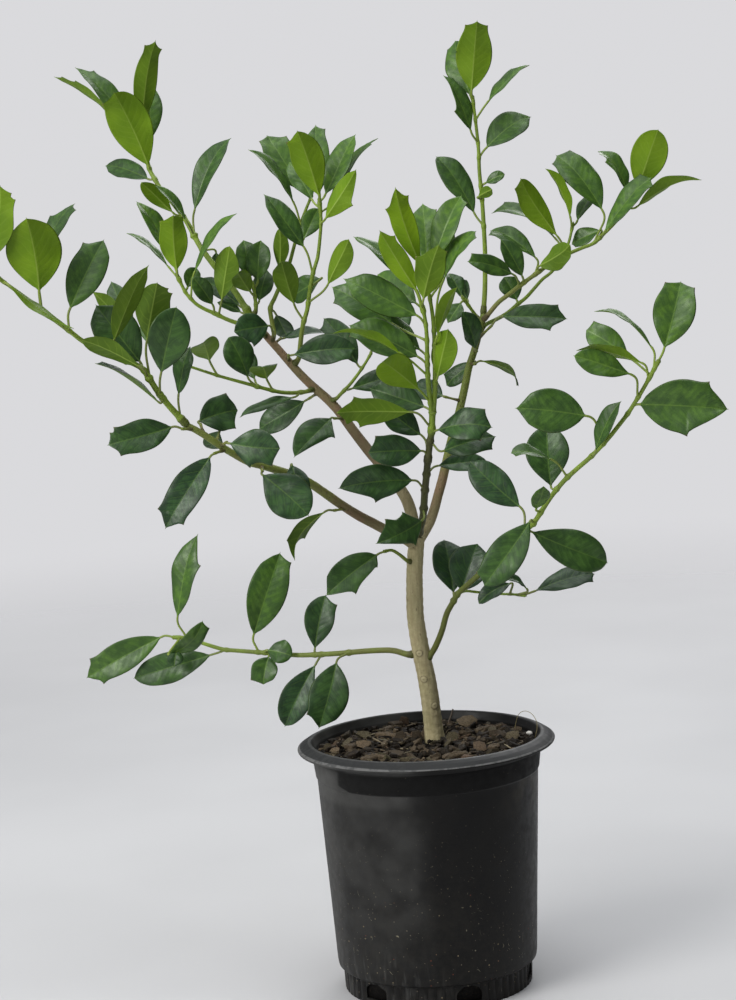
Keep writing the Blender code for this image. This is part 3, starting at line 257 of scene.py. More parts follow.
    "left_inner_shoot": ((-100, 502.5), "upper_left_limb", [
        (1.9, 1.1, [(-97.5, 507, 57), (-98.5, 517, 59), (-99, 527, 59), (-95, 535, 60), (-90, 545, 61),
            (-86, 553, 63), (-82.5, 560, 64), (-77.5, 575, 67), (-72.5, 588.7, 70), (-67.5, 600, 72),
            (-63.5, 608, 74)])], [
        ((-64, 607), (-68, 612), (-94, 657), (2, 12), 28, 20, 20, "9/8"),
        ((-72.5, 588.7), (-77, 605), (-108, 647), (-3, -9), 20, 68, 35, "/"),
        ((-77, 577), (-71, 577), (-58, 600), (-3, 0), 16, -10, 20, "/"),
        ((-89, 547), (-90, 554), (-88, 587), (-4, -8), 13, 165, 20, "/"),
        ((-99, 527), (-95, 522), (-86, 503), (6, 22), 17, 20, 20, "/")]),
    "front_left_shoot": ((-85, 483), "upper_left_limb", [
        (2, 1.1, [(-80, 488, 43), (-78.5, 496, 41), (-77, 505, 39), (-75, 514, 36), (-71.5, 524, 34),
            (-69.5, 534, 33), (-67.5, 543, 32), (-65.5, 551, 31), (-63, 558, 30), (-61, 564, 30),
            (-58.7, 577.5, 29), (-57.2, 590, 28), (-57.5, 605, 28)])], [
        ((-57.5, 603), (-57.5, 608), (-71.5, 659), (-4, -17), 25, 180, 20, "8/"),
        ((-57.4, 599), (-63, 606), (-79, 636), (6, 18), 18, 20, 20, "/"),
        ((-57.4, 601), (-57, 610), (-57, 662), (8, 24), 20, 0, 20, "/9"),
        ((-57.4, 604), (-53, 609), (-28, 654), (3, 12), 22, -35, 20, "/"),
        ((-57.3, 596), (-49, 603), (-11, 650), (8, 20), 18, -65, 35, "6/8"),
        ((-57.2, 588), (-54, 591), (-28, 627), (-4, -12), 20, 150, 20, "/4"),
        ((-65.5, 551), (-71, 571), (-99, 613), (-2, 0), 20, 30, 25, "/"),
        ((-69.5, 529), (-55, 542), (-36, 576), (-5, -14), 18, 155, 20, "/"),
        ((-68, 541), (-60, 547), (-84, 533), (7, 22), 20, 30, 20, "/"),
        ((-75, 516), (-81, 529), (-89, 563), (-3, -26), 19, 178, 15, "/")]),
    "lower_limb_end_leaf": ((-162, 439.5), "lower_left_limb", [
        (1.2, 0.9, [(-166, 438.5, -68), (-171, 440, -70)])], [
        ((-171, 440), (-178, 442), (-229, 431), (-2, -12), 24, 10, 20, "8/89")]),
    "lower_limb_upper_leaf": ((-155, 434.5), "lower_left_limb", [
        (1.2, 0.9, [(-157.5, 439.5, -57), (-157, 443, -54)])], [
        ((-157.2, 442.5), (-158, 445), (-127, 452), (3, 14), 26, -10, 20, "7/7")]),
    "lower_limb_back_leaf": ((-146, 428), "lower_left_limb", [
        (1.1, 0.9, [(-145, 430, -53), (-144.5, 432, -50)])], [
        ((-144.5, 432), (-143, 437), (-151, 423), (4, 16), 15, 0, 20, "/")]),
    "lower_limb_hanging_leaf": ((-139, 422.5), "lower_left_limb", [
        (1.3, 0.9, [(-143.5, 420.5, -63), (-148, 420, -65)])], [
        ((-147.8, 420), (-151, 418), (-190, 364), (-2, -12), 25, 15, 20, "8/8")]),
    "lower_limb_right_leaf": ((-143, 425.5), "lower_left_limb", [
        (1.2, 0.9, [(-141, 428, -64), (-138, 428, -68)])], [
        ((-138, 428), (-136, 427), (-97, 421), (-3, -12), 27, 0, 20, "/48")]),
    "lower_limb_glossy_leaf": ((-113, 409), "lower_left_limb", [
        (1.2, 0.9, [(-113.5, 406, -53), (-112.5, 404.5, -56)])], [
        ((-112.5, 404.5), (-113, 402), (-79, 368), (-1, -11), 33, -10, 15, "/")]),
    "lower_limb_small_leaf": ((-92, 401), "lower_left_limb", [
        (1.2, 0.9, [(-96.5, 408, -42), (-91, 405, -46)])], [
        ((-91, 405), (-90, 408), (-84, 378), (-4, -10), 19, 0, 30, "/")]),
    "lower_limb_curled_leaf": ((-50, 372.3), "lower_left_limb", [
        (1.1, 0.9, [(-53, 370.5, -28), (-60, 371.5, -32)])], [
        ((-60, 371.5), (-67, 371), (-93, 334), (-4, -10), 17, 130, 80, "5/7")]),
    "far_left_shoot": ((-168, 443), "lower_left_limb", [
        (2.4, 1.2, [(-175, 452, -67), (-182, 461, -69), (-188, 470, -71), (-193, 479, -73),
            (-199, 488, -75), (-212, 495, -78), (-226, 502, -81), (-240, 509.5, -84), (-250, 518, -87),
            (-262, 528, -90), (-273, 538, -93), (-285, 548, -96), (-296, 557, -98), (-305, 564, -100)])], [
        ((-270, 535.5), (-271, 549), (-277, 606), (-4, -14), 39, 178, 15, "/"),
        ((-303, 562.5), (-306, 574), (-293, 631), (-2, -8), 25, 150, 20, "/89"),
        ((-271, 536.5), (-270, 557), (-240, 615), (8, 22), 18, -55, 40, "7/9"),
        ((-251, 519), (-249, 535), (-219.5, 586), (2, 14), 26, -5, 15, "8/"),
        ((-300, 560), (-304, 566), (-334, 600), (5, 16), 24, 20, 20, "/"),
        ((-301, 561), (-305, 559), (-346, 552), (-3, -14), 22, 30, 20, "9/"),
        ((-297, 557.5), (-293, 555), (-247, 519), (-6, -8), 17, 110, 15, "/"),
        ((-194, 480), (-200, 489), (-243, 512), (-10, -16), 18, 135, 15, "/"),
        ((-184, 463.5), (-187, 461), (-233, 495), (-5, -7), 18, 88, 20, "/9"),
        ((-197, 485.5), (-199, 492), (-230, 538), (2, 6), 32, 5, 15, "/"),
        ((-222, 500), (-218, 509), (-188, 566), (-5, -14), 22, -140, 20, "/"),
        ((-193, 479), (-193, 508), (-182, 552), (-3, -8), 25, 172, 20, "/89"),
        ((-209, 493.5), (-207, 512), (-232, 548), (22, 35), 14, 150, 20, "/"),
        ((-210, 494), (-205, 514), (-217, 555), (36, 52), 16, 10, 20, "/"),
        ((-186, 467), (-184, 483), (-169, 533), (-10, -14), 30, 0, 15, "/"),
        ((-172, 448), (-172, 466), (-161, 503), (0, -2), 20, -50, 20, "/")]),
    "trunk_twig": ((-1, 328), "trunk", [
        (1.6, 1.1, [(-7, 330, 4), (-12, 334.5, 1), (-18, 338.5, -2), (-24, 338, -5)])], [
        ((-23.5, 338), (-29, 336), (-71, 306), (-2, -14), 26, 12, 30, "16/")]),
    "low_left_branch": ((-0.2, 259.5), "trunk", [
        (2.4, 1.4, [(-9, 257.5, 14), (-20, 261, 17), (-30, 262, 20), (-45, 262, 24), (-60, 261.5, 29),
            (-80, 261.5, 35), (-95, 262, 40), (-110, 264, 44), (-125, 266, 48), (-140, 268, 52),
            (-150, 269.5, 55), (-160, 273, 58), (-170, 277, 61), (-178, 280, 63), (-187, 281, 65)])], [
        ((-76, 261.5), (-81, 254), (-108, 206), (2, -2), 25, 10, 20, "/"),
        ((-55, 261.5), (-65, 255), (-82, 203), (-4, -14), 31, 0, 20, "/8"),
        ((-81, 261.5), (-81, 266), (-70, 308), (2, 10), 24, 0, 20, "/8"),
        ((-124, 266), (-127, 279), (-102, 343), (2, 10), 31, 8, 15, "/9"),
        ((-114, 264.5), (-116.5, 262), (-122, 240), (-5, -12), 21, 10, 30, "/8"),
        ((-119, 265), (-117, 267), (-98, 261.5), (-6, -12), 20, -20, 30, "/"),
        ((-183, 280.5), (-192, 268), (-164, 293), (-7, -18), 18, 40, 60, "/9"),
        ((-178, 280), (-186, 271), (-189, 258), (-8, -13), 13, 15, 25, "/"),
        ((-178, 280), (-184, 296), (-165, 361), (1, 6), 24, -40, 25, "/6"),
        ((-186, 281), (-197, 282), (-258, 253), (2, 4), 25, 8, 15, "8/8"),
        ((-148, 269), (-160, 266), (-222, 251), (7, 14), 25, 10, 20, "/")]),
    "low_right_branch": ((1.5, 250), "trunk", [
        (2.4, 1.4, [(9, 259, 10), (13, 266, 7), (17, 275, 3), (21, 287, -2), (26, 295.5, -8),
            (31, 303, -14), (41, 311, -22), (54, 322, -31), (67, 333, -39), (80, 344, -46), (91, 354, -50),
            (97, 362, -53), (105, 373, -56), (115, 384, -60), (125, 392.5, -64), (137, 402, -69),
            (150, 414.5, -75), (158, 423.5, -79), (166, 433, -82), (173, 443, -85), (179, 452, -88),
            (190, 470, -94)]),
        (1.1, 0.9, [(30, 302, -13), (36, 304, -12), (43, 303, -10), (52, 301.5, -9), (62, 300.3, -10),
            (72, 299.4, -12), (80, 298, -15)])], [
        ((27, 297), (27, 303), (22, 346), (6, 22), 27, 12, 20, "/"),
        ((30, 301.5), (33, 304), (47.5, 341), (2, 10), 31, -8, 20, "/"),
        ((90, 353), (88, 355), (49, 306), (-6, -18), 27, 12, 30, "/9"),
        ((70, 299.6), (71, 308), (45, 293), (-5, -12), 14, 30, 60, "/"),
        ((76, 298.8), (83, 303), (66, 312), (-8, -14), 9, 60, 60, "/"),
        ((79.5, 298), (89, 301), (136, 312), (-1, 6), 20, -35, 20, "/9"),
        ((90, 353.5), (88, 347), (147, 319), (6, 16), 30, -15, 30, "/"),
        ((96.5, 361), (93, 364), (100, 381), (-4, -12), 16, 40, 20, "/"),
        ((84, 347.5), (81, 366), (44, 404), (4, 14), 25, 5, 15, "/"),
        ((109.5, 378), (105, 380), (104, 428), (3, 10), 32, 0, 15, "/"),
        ((146, 411), (134, 432.5), (80, 441.5), (-5, -7), 32, 5, 15, "/"),
        ((118, 387), (106, 401), (75, 408), (-6, -12), 17, 65, 35, "9/"),
        ((137, 402), (140, 406), (161, 443), (-10, -16), 18, -50, 30, "/"),
        ((165.5, 432.5), (174, 439), (243, 431), (-3, -8), 38, 5, 15, "7/5"),
        ((174, 444.5), (169, 462), (126, 479), (-10, -14), 19, 25, 20, "/"),
        ((182.5, 458), (178, 470), (128, 484), (-3, -6), 17, 118, 30, "/8"),
        ((184, 460.5), (168, 475), (136, 498), (13, 24), 20, 10, 20, "/9"),
        ((187, 465), (186, 481), (143, 512), (2, 8), 16, 78, 60, "/8"),
        ((189.8, 469.5), (195, 480), (210, 531), (2, 10), 30, 0, 15, "9/9")]),
}

# Bark mix: the radius and height of each ring of its nearly level top, from the wall to the crown
MOUND = ((0.0846, 0.1860), (0.0620, 0.1863), (0.0360, 0.1865), (0.0120, 0.1866))
MIX_RADIUS = 0.0846
MIX_GAP = 0.0004

# Loose chips of bark on the mix: across, back, length, width, thickness and heading in degrees
CHIPS = (
    (-0.042, -0.038, 0.019, 0.009, 0.0028, 20),
    (-0.014, -0.052, 0.015, 0.008, 0.0030, -35),
    (0.020, -0.047, 0.021, 0.010, 0.0032, 12),
    (0.051, -0.024, 0.016, 0.009, 0.0026, 70),
    (-0.058, 0.004, 0.014, 0.010, 0.0030, 80),
    (-0.030, 0.036, 0.018, 0.008, 0.0028, -20),
    (0.046, 0.037, 0.017, 0.009, 0.0030, 40),
)
CHIP_OUTLINE = ((-0.5, -0.3), (-0.1, -0.5), (0.46, -0.36), (0.5, 0.22), (0.05, 0.5), (-0.44, 0.38))

# Flakes that stand out on the mix: across, back, length, width, heading, lean and the heading of the axis
# they lean over in degrees, how warm they are, their hue (mossy below 0.3, ruddy above 0.84) and how pale
FLAKES = (
    (-0.049, 0.004, 0.013, 0.010, 20, 42, 0, 1.0, 0.92, 0.30),
    (-0.047, 0.038, 0.012, 0.008, -15, 46, 0, 1.0, 0.06, 0.35),
    (-0.070, -0.006, 0.010, 0.006, 25, 30, 0, 1.0, 0.93, 0.35),
    (-0.060, 0.014, 0.012, 0.009, 60, 25, 0, 0.8, 0.10, 0.08),
    (-0.016, 0.0755, 0.009, 0.009, 10, 72, 0, 0.35, 0.95, 0.0),
    (-0.019, 0.020, 0.011, 0.009, 75, 58, 0, 0.4, 0.5, 0.0),
    (-0.007, 0.018, 0.010, 0.010, 40, 62, 0, 0.3, 0.5, 0.0),
    (-0.018, 0.012, 0.017, 0.0018, 0, 28, -90, 0.8, 0.5, 0.25),
    (-0.026, -0.030, 0.022, 0.014, 10, 14, 0, 0.55, 0.6, 0.0),
    (0.035, 0.062, 0.018, 0.012, 5, 40, 0, 0.95, 0.6, 0.12),
    (0.0205, 0.0105, 0.011, 0.011, 70, 55, 0, 0.75, 0.06, 0.0),
    (0.0675, 0.006, 0.012, 0.010, -10, 34, 0, 0.9, 0.18, 0.10),
    (0.040, -0.026, 0.013, 0.012, 30, 34, 0, 0.9, 0.91, 0.10),
    (0.072, 0.027, 0.008, 0.007, 0, 46, 0, 0.6, 0.4, 0.05),
    (-0.076, 0.001, 0.011, 0.007, 70, 34, 0, 0.45, 0.15, 0.0),
    (0.052, 0.030, 0.010, 0.009, 50, 30, 0, 0.55, 0.12, 0.0),
    (-0.013, -0.057, 0.0065, 0.0024, -50, 10, 0, 1.0, 0.5, 0.9),
    (-0.007, -0.058, 0.0055, 0.0020, -35, 10, 0, 1.0, 0.5, 1.0),
    (0.068, -0.032, 0.0060, 0.0026, 20, 12, 0, 1.0, 0.5, 0.9),
    (0.014, -0.060, 0.0120, 0.0014, 8, 4, 0, 1.0, 0.5, 0.7),
)
FLAKE_THICKNESS = 0.0009
# The levels of a broken piece from its bottom to its top, as shares of its thickness, and how wide each is
FLAKE_LAYERS = ((0, 0.84), (0.3, 1.0), (0.8, 0.96), (1.0, 0.8))
CHIP_LAYERS = ((0, 0.9), (0.15, 1.0), (0.6, 0.98), (0.85, 0.9), (1.0, 0.74), (1.02, 0.35), (0.97, 0.06))
# Broken bark keeps its edges where faces meet at more than this angle
FLAKE_EDGE = radians(24)
CRUMB_COUNT = 2100
SLIVER_COUNT = 40
SLIVER_THICKNESS = 0.0008
# Where the trunk stands in the mix, and how far from its axis crumbs keep
TRUNK_FOOT = (0.0083, 0.026)
TRUNK_CLEARANCE = 0.0085

# Small things on the mix: a white grain, and charted paths of a grass loop and a root
PERLITE = (0.0803, 0.0112, 0.1888)
GRASS = ((67.5, 190, 22), (69.6, 200.3, 20), (72.2, 206.4, 17), (76.9, 208.5, 14), (82.1, 205.8, 10),
         (85.4, 199.5, 6), (85.2, 193, 3), (83.4, 187, 2))
GRASS_RADIUS = 0.00024
ROOT = ((17.6, 196, 53), (18.3, 203.3, 54), (20.1, 207.9, 54), (21.9, 213.2, 54))
ROOT_RADIUS = 0.00085

# Wood: the grain of its fused skin, its flare at the mix, and how high its relief stands
WOOD_GRAIN = 0.0008
TRUNK_FLARE = 0.1
BARK_RIDGES = 0.00022
BARK_GRIT = 0.00008
BARK_RINGS = 0.00012
# Knots on the trunk: across, up, size, and how far round to the right of the front they sit
KNOTS = ((-1.5, 237, 2.3, -0.35), (7.5, 217, 2.4, 0.45), (0, 258, 2.2, -0.25))
KNOT_OUT = 0.0068
# How woody each limb is at its end: 0 is green growth, 1 old bark
LIMB_AGES = {"trunk": 1.0, "upper_left_limb": 0.58, "lower_left_limb": 0.27, "right_limb": 0.24}
# The share of a limb by which it reaches its end's age, and the painted shade on its lower and upper halves
LIMB_TONES = {"trunk": (0.9, 0.0, 0.0), "upper_left_limb": (0.6, 0.45, 0.0),
              "lower_left_limb": (0.55, 0.2, 0.28), "right_limb": (0.5, 0.1, 0.28)}

# Stems: how they are divided, the swelling at each leaf, and the ring scars and collar at their foot
STEM_STEP = 0.0013
STEM_SIDES = 12
NODE_SWELLING = 0.3
NODE_REACH = 0.0017
SCAR_RINGS = 4
SCAR_START = 0.0006
SCAR_SPACING = 0.0011
SCAR_WIDTH = 0.00045
SCAR_RISE = 0.17
COLLAR_RISE = 0.3
COLLAR_REACH = 0.002
# The bud on a stem's end: millimetres past the end, and the share of its radius there
END_BUD = ((0.35, 0.8, 1.25, 1.7, 2.2, 2.7, 3.1), (1.06, 1.12, 1.05, 0.86, 0.6, 0.33, 0.08))
# The bud in a leaf's armpit: how far out and how full, in its own length and plumpness
ARMPIT_BUD = ((0.0, 0.5), (0.2, 0.85), (0.45, 1.0), (0.7, 0.85), (1.0, 0.55), (1.25, 0.25), (1.4, 0.06))
BUD_LENGTH = 0.0016
BUD_PLUMPNESS = 0.55
# How far inside a stem's end a leaf or shoot may sit, in millimetres
END_INSET = 1.2
# How woody the stems of a shoot are at their foot and end
STEM_AGES = {
    "low_left_branch": (0.3, 0.14),
    "low_right_branch": (0.3, 0.0),
    "far_left_shoot": (0.12, 0.0),
    "left_leader": (0.2, 0.0),
    "top_leader": (0.22, 0.0),
    "right_upper_shoot": (0.38, 0.0),
    "right_mid_shoot": (0.08, 0.0),
    "front_left_shoot": (0.3, 0.0),
    "left_inner_shoot": (0.3, 0.0),
    "centre_shoot": (0.2, 0.05),
    "trunk_twig": (0.3, 0.15),
}
SHOOT_STEM_AGE = (0.25, 0.0)
LONE_STEM_AGE = (0.4, 0.25)
# Shoots whose first stem is darker from its foot: up to which share of it, and how strongly
DARK_STEMS = {"centre_shoot": (0.88, 1.0), "low_right_branch": (0.42, 0.62), "low_left_branch": (0.85, 0.3)}

# How ripe each shoot's leaves are at its foot and end: 0 is fresh growth, 1 old and dark, and more is darker
LEAF_AGES = {
    "low_left_branch": (1.0, 0.75),
    "low_right_branch": (1.3, -0.1),
    "centre_shoot": (1.1, 0.0),
    "top_leader": (0.8, 0.35),
    "right_upper_shoot": (0.75, 0.3),
    "right_mid_shoot": (0.7, 0.4),
    "left_leader": (0.85, 0.25),
    "left_side_shoot": (0.8, 0.25),
    "left_inner_shoot": (0.85, 0.4),
    "front_left_shoot": (0.85, 0.25),
    "far_left_shoot": (0.9, 0.5),
    "mid_left_shoot": (0.85, 0.5),
    "left_short_shoot": (0.7, 0.5),
    "limb_node_twig": (0.85, 0.7),
    "upper_limb_twig": (0.95, 0.8),
    "trunk_twig": (0.8, 0.8),
}
LONE_LEAF_AGE = (0.95, 0.95)
# Leaves fresher or older than their neighbours by the row of their shoot's chart, some lightened as painted
# light
LEAF_EXCEPTIONS = {
    "low_left_branch": {3: 0.42, 4: 0.5, 5: 0.6, 6: 0.35, 8: 0.5, 9: 0.45},
    "low_right_branch": {0: 1.3, 1: 1.25, 3: 1.2, 4: 1.2, 5: 1.3, 7: 0.25, 8: 0.85},
    "centre_shoot": {0: -0.3, 1: -0.3, 5: 0.5, 8: 0.4, 15: 0.0, 16: -0.1, 18: 0.75, 25: 0.65},
    "far_left_shoot": {0: 0.35},
    "left_leader": {0: 0.15, 1: 0.45, 3: 0.3, 5: 0.9, 6: 0.25, 7: 0.5, 8: 0.7},
    "left_side_shoot": {6: 0.75},
    "top_leader": {5: 0.6},
}

# Leaf shape
BASE_WEDGE = 0.3
ARCH_FOOT = 0.7
ARCH_GAIN = 0.6
STALK_RADIUS = 0.00088
STALK_REACH = 0.4
STALK_STEP = 0.0022
# The share of the blade over which it grows out of its stalk
STALK_BLEND = 0.075
BLADE_END = 0.97
# Where the edge of a leaf without spines turns in to the tip
PLAIN_END = 0.8
SPINE_END = 0.992
# The thorn on the tip: the share of the blade that draws in to it, and its radii at its foot and point
THORN_RUN = 0.035
THORN_RADIUS = 0.00042
THORN_POINT = 0.00006
SPINE_LENGTH = 0.0027
# How far before and past a spine the edge bends towards it, and how deep the bays between spines are
SPINE_RUN_UP = 0.0085
SPINE_RUN_OFF = 0.0042
SPINE_BAY = 0.2
# Where along the blade the spines of each digit of the chart sit
SPINE_PLACES = (0.05, 0.13, 0.23, 0.33, 0.43, 0.53, 0.63, 0.725, 0.81, 0.885)
# The rings a spine needs around it, and how near to them an even ring may be
SPINE_STATIONS = (-0.0045, -0.002, -0.0008, 0, 0.0008, 0.0022)
STATION_GAP = 0.0009
BLADE_THICKNESS = 0.0005
FOLD = 0.22
MARGIN_ROLL = 0.08
RIB_HEIGHT = 0.00042
RIB_GROOVE = 0.00016
RIB_WIDTH = 0.0007
VEIN_SPACING = 0.0062
VEIN_SLOPE = 0.72
VEIN_CURVE = 17.0
QUILT_RELIEF = 0.00026
# The points of a ring: across the upper side from the left edge to the right one, and back under it
ACROSS = np.array([-1, -0.92, -0.76, -0.54, -0.3, -0.09, 0, 0.09, 0.3, 0.54, 0.76, 0.92, 1])
RING = np.concatenate([ACROSS, ACROSS[-2:0:-1]])
UPPER_COUNT = len(ACROSS)
# The same points on the round stalk
ROUND = np.concatenate([np.linspace(pi, 0, UPPER_COUNT), np.linspace(0, -pi, UPPER_COUNT)[1:-1]])
ROUND_OFF, ROUND_LEVEL = np.cos(ROUND), np.sin(ROUND)

# What chance settles for each leaf: how its blade bends back, swings aside and twists, where it is widest and
# how full it is, its waves, and how far its fold and its quilting differ from the usual ones
RECURVE = (0.012, 0.05)
SWEEP = (-0.03, 0.03)
TWIST = (-0.45, 0.45)
SKEWS = (1.0, 1.28)
FULLNESSES = (0.5, 0.64)
WAVE_COUNT = (0.9, 1.9)
LONG_WAVES = (0.03, 0.13)
SHORT_WAVES = (0.01, 0.05)
FOLD_SPREAD = (0.5, 1.7)
QUILT_SPREAD = (0.5, 1.3)
# Leaves whose outline is plain to see, by the row of their shoot's chart: their skew and fullness
LEAF_OUTLINES = {
    "left_leader": {0: (1.3, 0.46)},
    "far_left_shoot": {3: (1.12, 0.5)},
    "low_left_branch": {3: (1.12, 0.52)},
    "low_right_branch": {13: (1.0, 0.55)},
}

# View and light: each lamp has its name, place, target, size, power and colour
VIEW_TARGET = (-0.034, 0.0, 0.378)
VIEW_ROLL = -3.25
VIEW_LENS = 91.0
VIEW_SENSOR = 36.0
VIEW_CLIP = (0.05, 50.0)
BACKDROP = (0.70, 0.70, 0.72)
SKY_LOW = (0.20, 0.20, 0.21)
SKY_HIGH = (0.47, 0.48, 0.50)
SKY_SHADE = (0.2, 0.2, 0.2)
FLOOR_HALF = 6
# The floor fades into the backdrop between these distances
FLOOR_FADE = (0.9, 2.6)
LAMPS = (
    ("key", (-1.9, -1.5, 1.7), (0.0, 0.0, 0.4), 1.6, 52.0, (1.0, 0.99, 0.96)),
    ("top", (0.2, -0.2, 2.6), (0.0, 0.0, 0.4), 1.8, 24.0, (0.97, 0.99, 1.0)),
    ("back", (0.6, 1.8, 1.7), (0.0, 0.0, 0.45), 1.4, 16.0, (1.0, 1.0, 1.0)),
)


# Chart to metres

def place(across, up, back):
    """The real point, in metres, that the viewpoint sees at this place of the upright plane."""
    seen = np.array([across * MM, 0.0, up * MM])
    return EYE + (seen - EYE) * (1 + back * DEPTH * MM / -EYE[1])


def unit(vector):
    return vector / np.linalg.norm(vector, axis=-1, keepdims=True)


def dots(one, other):
    return np.sum(one * other, axis=-1, keepdims=True)


def smooth(low, high, value):
    """A smooth step from 0 at low to 1 at high."""
    share = np.clip((np.asarray(value, float) - low) / (high - low), 0, 1)
    return share * share * (3 - 2 * share)


def hump(value, width, centre=0.0):
    """A smooth hump, 1 at its centre and about a third at its width."""
    return np.exp(-((value - centre) / width) ** 2)


def nearest(stems, across, up):
    """The charted point of these stems that is seen nearest to a place, kept a little inside their ends."""
    found = []
    for _, _, points in stems:
        chart = np.array(points, float)
        chart[-1] -= unit(chart[-1] - chart[-2]) * END_INSET
        for low, high in zip(chart[:-1], chart[1:]):
            step = high - low
            share = np.dot([across - low[0], up - low[1]], step[:2]) / np.dot(step[:2], step[:2])
            point = low + step * min(max(share, 0.0), 1.0)
            found.append((np.hypot(point[0] - across, point[1] - up), tuple(point)))
    return min(found)[1]


def stems_of(name):
    """The stems of a shoot or of the woody frame. A shoot's first stem starts on the axis of its carrier."""
    if name in WOOD:
        return [WOOD[name]]
    at, carrier, stems, _ = SHOOTS[name]
    start = nearest(stems_of(carrier), *at)
    path = stems[0][2] if len(stems[0][2]) > 2 else stems[0][2][-1:]
    return [(stems[0][0], stems[0][1], [start] + path)] + stems[1:]


def spline(points, step):
    """A smooth curve through points, resampled at even steps, and the length reached at each."""
    points = np.array(points, float)
    ends = np.vstack([2 * points[0] - points[1], points, 2 * points[-1] - points[-2]])
    found = []
    for a, b, c, d in zip(ends[:-3], ends[1:-2], ends[2:-1], ends[3:]):
        count = max(2, int(np.linalg.norm(c - b) / step * 2))
        t = np.linspace(0, 1, count, endpoint=False)[:, None]
        found.append(0.5 * (2 * b + (c - a) * t + (2 * a - 5 * b + 4 * c - d) * t**2
                            + (3 * b - a - 3 * c + d) * t**3))
    line = np.vstack(found + [points[-1:]])
    lengths = np.concatenate([[0], np.cumsum(np.linalg.norm(np.diff(line, axis=0), axis=1))])
    count = max(3, int(lengths[-1] / step) + 1)
    even = np.linspace(0, lengths[-1], count)
    return np.stack([np.interp(even, lengths, line[:, axis]) for axis in range(3)], axis=1), even


def frames_along(line):
    """Unit directions along a line, with two directions across it that turn as little as they can."""
    along = unit(np.gradient(line, axis=0))
    across = np.array([0.0, 1.0, 0.0])
    sides = []
    for ahead in along:
        across = unit(across - ahead * np.dot(across, ahead))
        sides.append(across)
    sides = np.array(sides)
    return along, sides, np.cross(along, sides)


def circle(sides):
    return np.linspace(0, 2 * pi, sides, endpoint=False)


def tube(line, radii, across, around, sides):
    """Rings about a line, with one radius a ring or one a point."""
    angles = circle(sides)
    spread = radii[:, None, None] if radii.ndim == 1 else radii[..., None]
    return line[:, None] + spread * (
        np.cos(angles)[None, :, None] * across[:, None] + np.sin(angles)[None, :, None] * around[:, None])


# Pieces

def bare_body(name, points, faces):
    """A mesh object in the scene that isn't a piece yet."""
    mesh = bpy.data.meshes.new(name)
    mesh.from_pydata(np.asarray(points).tolist(), [], [tuple(face) for face in faces])
    body = bpy.data.objects.new(name, mesh)
    bpy.context.scene.collection.objects.link(body)
    return body


def worked(body):
    """The body's mesh with its modifiers worked in."""
    graph = bpy.context.evaluated_depsgraph_get()
    graph.update()
    return bpy.data.meshes.new_from_object(body.evaluated_get(graph))


def add_piece(name, points, faces, finishes, node, face_finish=None, marks=None):
    """A finished piece: its mesh, finishes, painted marks for them, body and replaced node."""
    piece = bare_body(name, points, faces)
    mesh = piece.data
    if face_finish is not None:
        mesh.polygons.foreach_set("material_index", np.asarray(face_finish, np.int32))
    for mark, values in (marks or {}).items():
        layer = mesh.attributes.new(mark, "FLOAT_VECTOR", "POINT")
        layer.data.foreach_set("vector", np.asarray(values, np.float32).ravel())
    mesh.polygons.foreach_set("use_smooth", [True] * len(mesh.polygons))
    mesh.validate()
    for finish in finishes:
        mesh.materials.append(finish)
    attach(piece, "root")
    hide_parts(node)
    return piece


class Shape:
    """Gathers closed skins, with their marks and finishes, into one mesh."""

    def __init__(self):
        self.points = []
        self.faces = []
        self.finish = []
        self.marks = {}
        self.count = 0

    def skin(self, rings, finish=0, **marks):
        """Adds a closed body through rings of the same number of points."""
        rings = np.asarray(rings, float)
        count, sides = rings.shape[:2]
        start = np.arange(count - 1)[:, None] * sides
        here = start + np.arange(sides)
        beside = start + (np.arange(sides) + 1) % sides
        faces = np.stack([here, beside, beside + sides, here + sides], axis=-1).reshape(-1, 4).tolist()
        faces.append(tuple(reversed(range(sides))))
        faces.append(tuple(range((count - 1) * sides, count * sides)))
        self.points.append(rings.reshape(-1, 3))
        self.faces += [tuple(int(index) + self.count for index in face) for face in faces]
        if np.ndim(finish):
            self.finish += list(np.asarray(finish).ravel()) + [finish[0][0], finish[-1][0]]
        else:
            self.finish += [finish] * len(faces)
        for name, values in marks.items():
            self.marks.setdefault(name, []).append(np.asarray(values, float).reshape(-1, 3))
        self.count += count * sides

    def piece(self, name, finishes, node, slot):
        marks = {mark: np.vstack(values) for mark, values in self.marks.items()}
        return add_piece(name, np.vstack(self.points), self.faces, finishes, node, self.finish, marks)


# Stems

def stem_radii(stem, lengths):
    share = lengths / lengths[-1]
    return (stem[0] + (stem[1] - stem[0]) * share) * MM


def stem_thickness(stems, point):
    """The radius of the stem that passes nearest to a point."""
    found = []
    for stem in stems:
        line, lengths = spline([place(*spot) for spot in stem[2]], 0.003)
        gaps = np.linalg.norm(line - point, axis=1)
        found.append((gaps.min(), stem_radii(stem, lengths)[int(np.argmin(gaps))]))
    return min(found)[1]


